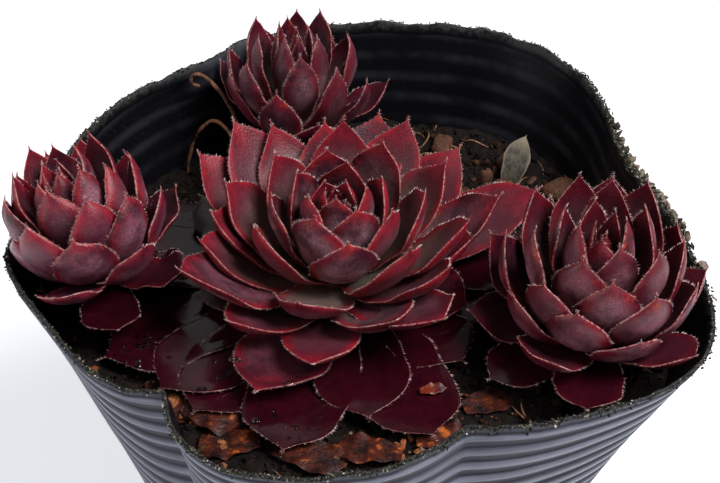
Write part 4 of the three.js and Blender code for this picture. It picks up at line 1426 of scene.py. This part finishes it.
dry_string, string_tree, string_shader = new_material("dry_string", Roughness=0.7)
string_bark = object_noise(string_tree, 1.1, 6.0, 0.75)
string_worn = remap(string_tree, string_bark, 0.35, 0.65)
link(
    string_tree,
    string_shader,
    Base_Color=mix_colours(
        string_tree, string_worn, (0.035, 0.012, 0.008), (0.24, 0.085, 0.035)
    ),
    Normal=bump(string_tree, string_bark, 0.25, 0.9),
)
# radii in mm at the foot and the end, with small swellings between
STRING_FOOT_RADIUS = 0.40
STRING_END_RADIUS = 0.26
STRING_STEPS = 10
for string_node, string_route in (
    ("dry_runner_curl", CURL_ROUTE),
    ("dry_runner_arch", ARCH_ROUTE),
):
    string_path = smooth_path(string_route, STRING_STEPS)
    string_path += 0.07 * ripple_push(string_path, 2.0, 61)
    string_share = np.linspace(0, 1, len(string_path))
    string_taper = (STRING_FOOT_RADIUS - STRING_END_RADIUS) * string_share
    string_radii = STRING_FOOT_RADIUS - string_taper + 0.04 * np.sin(41 * string_share)
    string_points, string_faces = cords(string_path[None], string_radii[None], 9)
    string = new_piece(f"string_{string_node}", string_points, string_faces, [dry_string])
    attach(string, "root")
    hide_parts(string_node)


# =========================================================================== bark chips
# Chips and splinters of orange-brown pine bark in the compost. Each breaks along its layers
# into a rough slab with ragged ends; the smallest lie loose at the front left and back right.

# middle, half sizes, turn and tilt of each chip
BARK_CHIPS = [
    ((-19.6, -31.7, 75.8), (2.6, 1.8, 0.9), 30, 4),
    ((-4.2, -41, 76), (3.2, 1.7, 1), -8, 0),
    ((-27.4, -29.8, 76.2), (1.6, 1.2, 1), 60, 0),
    ((21.2, 21.7, 78.4), (1.2, 0.9, 3.6), 20, 12),
    ((34, 22, 76.8), (3.4, 2.2, 1.6), 40, -10),
    ((36.5, 9.5, 76.6), (2.8, 2, 1.4), -20, 10),
    ((14.5, 35.5, 76.6), (3, 1.8, 1.3), 75, 6),
    ((-27.6, 10.5, 76.2), (1.8, 1.4, 1.1), 15, 0),
    ((26, 30, 76.6), (2.4, 1.8, 1.4), -50, 12),
]
# middle, reach along X and Y, and number of the loose splinters
SPLINTER_PATCHES = [((-19, -33), (8, 4), 40), ((24, 20), (8, 6), 46), ((4, -40), (14, 2), 22)]
splinter_random = np.random.default_rng(71)
splinter_list = list(BARK_CHIPS)
for (patch_x, patch_y), (reach_x, reach_y), patch_count in SPLINTER_PATCHES:
    for _ in range(patch_count):
        x = patch_x + reach_x * splinter_random.normal(scale=0.6)
        y = patch_y + reach_y * splinter_random.normal(scale=0.6)
        long = splinter_random.uniform(0.5, 1.7)
        room = inner_radius(math.atan2(y, x), SOIL_LEVEL) - 1.2 - long
        pull = min(1, room / math.hypot(x, y))
        x, y = x * pull, y * pull
        half = (long, long * splinter_random.uniform(0.3, 0.7), splinter_random.uniform(0.15, 0.4))
        place = (x, y, float(soil_height(x, y)) + 0.45)
        turn_and_tilt = splinter_random.uniform(0, 360), splinter_random.uniform(-18, 18)
        splinter_list.append((place, half, *turn_and_tilt))

SLAB_ALONG = 12
SLAB_AROUND = 14


def slab(centre, half, turn, tilt, seed):
    """A rough slab: a rounded box section carried along X, thinned and torn at both ends.

    Gives the points in mm, and the same points in the slab's own space, from -1 to 1.
    """
    turns = np.linspace(0, 2 * np.pi, SLAB_AROUND, endpoint=False)
    along = np.linspace(-1, 1, SLAB_ALONG)[:, None]
    side = np.sign(np.cos(turns)) * np.abs(np.cos(turns)) ** 0.6
    top = np.sign(np.sin(turns)) * np.abs(np.sin(turns)) ** 0.6
    narrow = (1 - np.abs(along) ** 5) ** 0.5 * 0.8 + 0.2
    own = np.stack([along + 0 * side, side * narrow, top * narrow], -1).reshape(-1, 3)
    own = np.vstack([own, [-1, 0, 0], [1, 0, 0]])
    shape = own * (0.92 + 0.10 * ripple_push(own * half, 1.6, seed)) * half
    layers = 0.10 * np.round(3 * ripple(own * (half[0], half[1], 0), 1.2, seed + 5)) / 3
    shape[:, 2] += layers * half[2]
    tilt_matrix = Matrix.Rotation(math.radians(tilt), 3, "X")
    turned = np.array(Matrix.Rotation(math.radians(turn), 3, "Z") @ tilt_matrix)
    return shape @ turned.T + np.array(centre), own


pine_bark, bark_tree, bark_shader = new_material("pine_bark", Roughness=0.8)
bark_place = add_node(bark_tree, "ShaderNodeAttribute", attribute_name="chip_place").outputs[1]
bark_fibre = noise(bark_tree, bark_place, (1.2, 4.0, 5.0), 7.0, 0.7)
bark_red = remap(bark_tree, bark_fibre, 0.36, 0.6)
bark_warm = mix_colours(bark_tree, bark_red, (0.035, 0.010, 0.005), (0.36, 0.095, 0.020))
bark_pale = remap(bark_tree, object_noise(bark_tree, 1.3, 5.0, 0.7), 0.52, 0.7, 0.0, 0.7)
bark_colour = mix_colours(bark_tree, bark_pale, bark_warm, (0.42, 0.21, 0.09))
# the chips towards the back, behind the plants, are darker
bark_backward = add_node(bark_tree, "ShaderNodeSeparateXYZ", {0: own_place(bark_tree)}).outputs[1]
bark_darker_behind = remap(bark_tree, bark_backward, 0.0, 0.02, 0.0, 0.72)
link(
    bark_tree,
    bark_shader,
    Base_Color=mix_colours(bark_tree, bark_darker_behind, bark_colour, (0.022, 0.012, 0.007)),
    Normal=bump(bark_tree, bark_fibre, 0.3, 0.9),
)

SLAB_POINTS = SLAB_ALONG * SLAB_AROUND + 2
bark_points, bark_places, bark_faces = [], [], []
for chip_index, (centre, half, turn, tilt) in enumerate(splinter_list):
    points, own = slab(centre, half, turn, tilt, 300 + 10 * chip_index)
    bark_points.append(points)
    # each chip reads its fibres at a place of its own
    bark_places.append(own * half + 7.0 * chip_index)
    bark_faces += closed_rings(SLAB_ALONG, SLAB_AROUND, chip_index * SLAB_POINTS)
bark = new_piece(
    "bark_chips",
    np.concatenate(bark_points),
    bark_faces,
    [pine_bark],
    facts={"chip_place": np.concatenate(bark_places)},
)
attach(bark, "root")
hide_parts(*(f"bark_chip_{number + 1}" for number in range(len(BARK_CHIPS))))


# =========================================================================== fallen leaves
# A dry leaf has curled up grey and papery at the back, and a limp red one lies beside it. Old
# leaves rot wet and orange-brown on the compost, most of them under the mother's front.

def lying_leaf(foot, azimuth, leaf):
    """The points and facts of one loose leaf that points from foot towards azimuth."""
    full = dict(root_radius=0, root_height=0, tone=draw(int(azimuth), 3), age=0.1) | leaf
    full.setdefault("thickness", leaf_thickness(full["width"], full["blunt"]))
    return fine_leaf(full, placing(azimuth, 0, 0, foot))


def loose_leaves(name, placed, material):
    """One piece of several loose leaves, each with its points and facts from lying_leaf."""
    points, where, kind = (np.concatenate(parts) for parts in zip(*placed))
    faces = []
    for number in range(len(placed)):
        faces += closed_rings(LEAF_ALONG, LEAF_AROUND, number * LEAF_POINTS)
    facts = {"leaf_place": where, "leaf_kind": kind}
    piece = new_piece(name, points, faces, [material], facts=facts)
    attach(piece, "root")
    return piece


papery, papery_tree, papery_shader = new_material("papery_leaf", Roughness=0.75)
papery_share, papery_inward, _ = point_fact(papery_tree, "leaf_place")
papery_veins = object_noise(papery_tree, 0.9, 6.0, 0.7, (1, 1, 3))
papery_pale = remap(papery_tree, papery_veins, 0.36, 0.62)
papery_tone = mix_colours(
    papery_tree, papery_pale, (0.014, 0.010, 0.007), (0.075, 0.062, 0.042)
)
papery_edge = calculate(
    papery_tree,
    "MAXIMUM",
    remap(papery_tree, papery_inward, 0.5, 0.05, 0.0, 0.6),
    remap(papery_tree, papery_share, 0.6, 0.95, 0.0, 0.8),
)
link(
    papery_tree,
    papery_shader,
    Base_Color=mix_colours(papery_tree, papery_edge, papery_tone, (0.20, 0.165, 0.115)),
    Normal=bump(papery_tree, papery_veins, 0.3, 0.9),
)
CURLED = dict(root_angle=78, tip_angle=20, length=11, width=4.4, blunt=0.2, roll=20)
dry_leaf = loose_leaves("papery_leaf", [lying_leaf((25.4, 24.2, 74.6), 60, CURLED)], papery)
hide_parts("dry_leaf")

LIMP = dict(root_angle=8, tip_angle=-12, length=10, width=7, blunt=0.6, roll=3)
limp_leaf = loose_leaves(
    "limp_leaf",
    [lying_leaf((24.6, 12.4, 77.1), 42, LIMP)],
    leaf_material("leaf_skin_limp", Bloom=0.3, Green=0.1),
)
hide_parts("fallen_leaf")

rotting, rot_tree, rot_shader = new_material(
    "rotting_leaf", Roughness=0.4, Specular_IOR_Level=0.3
)
rot_cloud = object_noise(rot_tree, 3.2, 6.0, 0.7)
rot_brown = remap(rot_tree, rot_cloud, 0.4, 0.58)
rot_colour = mix_colours(rot_tree, rot_brown, (0.012, 0.003, 0.003), (0.070, 0.013, 0.006))
rot_orange = remap(rot_tree, rot_cloud, 0.56, 0.68)
rot_colour = mix_colours(rot_tree, rot_orange, rot_colour, (0.46, 0.10, 0.016))
link(rot_tree, rot_shader, Base_Color=rot_colour, Normal=bump(rot_tree, rot_cloud, 0.8, 0.8))
# foot x, y and lift over the soil, azimuth, length and width
ROTTING_LEAVES = [
    (-30.5, -24.5, 0.5, -48, 12, 8),
    (-25.5, -31.0, 0.9, -25, 10, 7),
    (-14.5, -37.5, 0.5, 190, 9, 7),
    (-12.0, -39.5, 0.8, -20, 11, 6),
    (6.0, -41.0, 0.6, 170, 10, 6),
    (8.0, -38.0, 0.7, 5, 8, 6),
    (-36.0, 12.0, 0.6, 60, 9, 6),
    (15.0, -31.5, 0.5, 20, 8, 5),
    (19.5, 16.5, 0.6, 25, 9, 5),
    (30.0, 13.0, 0.6, 100, 8, 5),
]
rotting_placed = []
for foot_x, foot_y, lift, azimuth, length, width in ROTTING_LEAVES:
    shape = dict(root_angle=4, tip_angle=-6, length=length, width=width, thickness=0.35)
    foot = (foot_x, foot_y, float(soil_height(foot_x, foot_y)) + lift)
    rotting_placed.append(lying_leaf(foot, azimuth, shape | dict(blunt=1.0, roll=4)))
rotting_leaves = loose_leaves("rotting_leaves", rotting_placed, rotting)

# a curled red scrap of leaf has dropped on one of the flat leaves at the front right
SCRAP = dict(root_angle=6, tip_angle=-2, length=4.2, width=1.9, blunt=0.3, roll=12)
leaf_scrap = loose_leaves(
    "leaf_scrap",
    [lying_leaf((8.6, -30.4, 79.0), 8, SCRAP)],
    leaf_material(
        "leaf_skin_scrap",
        Body_Color=(0.16, 0.022, 0.008),
        Margin_Color=(0.2, 0.03, 0.01),
        Bloom=0.0,
        Green=0.0,
    ),
)


# =========================================================================== water drops
# Water from the last watering stands in drops on the flat old leaves. The drops are low domes,
# crowded where a leaf dishes, and each lies square to the leaf under it.

water, water_tree, water_shader = new_material("water", IOR=1.33, Transmission_Weight=1.0)
# a breath of noise keeps the gloss from being even
link(
    water_tree,
    water_shader,
    Roughness=remap(water_tree, object_noise(water_tree, 0.4), 0.3, 0.7, 0.0, 0.05),
)
# middle, reach and number of the drops in each patch
DROP_PATCHES = [((-33.5, -21.5), 2.6, 26), ((-11, -40), 2.8, 22), ((4.5, -41), 2.4, 14)]
DROP_PATCHES += [((-19, -26), 2.2, 12), ((-6, -34), 9, 20)]
drop_random = np.random.default_rng(81)
drop_spots = np.concatenate(
    [
        drop_random.normal(middle, reach, (drop_count, 2))
        for middle, reach, drop_count in DROP_PATCHES
    ]
)
mother_mesh = bpy.data.objects["leaves_mother"].data
mother_tree = BVHTree.FromPolygons(
    [point.co for point in mother_mesh.vertices], [face.vertices for face in mother_mesh.polygons]
)
DROP_RINGS = 5
DROP_AROUND = 10
DROP_POINTS = DROP_RINGS * DROP_AROUND + 2
drop_slope = np.linspace(0, 0.46 * np.pi, DROP_RINGS)[:, None]
drop_turns = np.linspace(0, 2 * np.pi, DROP_AROUND, endpoint=False)
FLATS_TOP = 0.083
DOWN = Vector((0, 0, -1))
drop_points, drop_faces = [], []
for x, y in drop_spots:
    spot, normal, _, _ = mother_tree.ray_cast(Vector((x / 1000, y / 1000, 0.2)), DOWN)
    if spot is None or spot.z > FLATS_TOP:
        continue
    radius = 0.16 + 0.75 * drop_random.uniform() ** 2.5
    outline_waver = 1 + 0.18 * np.sin(2 * drop_turns + drop_random.uniform(0, 6))
    reach = radius * np.cos(drop_slope) * outline_waver
    rise = 0.5 * radius * np.sin(drop_slope) + 0 * drop_turns
    dome = np.stack([reach * np.cos(drop_turns), reach * np.sin(drop_turns), rise], -1)
    dome = np.vstack([dome.reshape(-1, 3), [0, 0, -0.04], [0, 0, 0.5 * radius]])
    upright = np.array(normal.to_track_quat("Z", "Y").to_matrix())
    drop_faces += closed_rings(DROP_RINGS, DROP_AROUND, len(drop_points) * DROP_POINTS)
    drop_points.append(dome @ upright.T + np.array(spot) * 1000)
drops = new_piece("water_drops", np.concatenate(drop_points), drop_faces, [water])
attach(drops, "root")


# =========================================================================== stage and camera
# The pot stands on a plain pale floor that glows a little. A camera looks down into it, and three
# soft boxes light it: a key from the front right, a broad one from the left, a faint one behind.

CAMERA_ELEVATION = math.radians(38)
CAMERA_DISTANCE = 0.260
CAMERA_TARGET = Vector((0, -0.0015, 0.084))
FRAME_WIDTH = 0.113
look_back = Vector((0, -math.cos(CAMERA_ELEVATION), math.sin(CAMERA_ELEVATION)))
camera = bpy.data.objects.new("camera", bpy.data.cameras.new("camera"))
bpy.context.scene.collection.objects.link(camera)
camera.location = CAMERA_TARGET + look_back * CAMERA_DISTANCE
camera.rotation_euler = (-look_back).to_track_quat("-Z", "Y").to_euler()
camera.data.sensor_width = 36
camera.data.lens = camera.data.sensor_width * CAMERA_DISTANCE / FRAME_WIDTH
camera.data.clip_start = 0.01
bpy.context.scene.camera = camera

floor_matter = new_material(
    "pale_floor",
    Roughness=0.7,
    Base_Color=(0.85, 0.87, 0.91, 1),
    Emission_Color=(0.94, 0.96, 1, 1),
    Emission_Strength=0.5,
)[0]
FLOOR_HALF = 2000
floor_corners = [
    (FLOOR_HALF * across, FLOOR_HALF * along, 0)
    for across, along in ((-1, -1), (1, -1), (1, 1), (-1, 1))
]
floor = new_piece("floor", floor_corners, [[[0, 1, 2, 3]]], [floor_matter])

world = bpy.data.worlds.new("studio")
world.use_nodes = True
bpy.context.scene.world = world
world.node_tree.nodes["Background"].inputs["Color"].default_value = (1, 1, 1, 1)
world.node_tree.nodes["Background"].inputs["Strength"].default_value = 0.16


def softbox(name, place, size, power):
    """A square lamp of a size in metres and a power in watts, turned to the plants."""
    lamp = bpy.data.objects.new(name, bpy.data.lights.new(name, "AREA"))
    bpy.context.scene.collection.objects.link(lamp)
    lamp.data.energy = power
    lamp.data.size = size
    lamp.location = place
    towards = Vector((0, 0, 0.08)) - lamp.location
    lamp.rotation_euler = towards.to_track_quat("-Z", "Y").to_euler()


softbox("key", (0.24, -0.12, 0.46), 0.22, 3.1)
softbox("side", (-0.5, -0.15, 0.3), 0.4, 1.4)
softbox("back", (-0.12, 0.42, 0.42), 0.3, 0.09)
bpy.context.scene.view_settings.view_transform = "Standard"
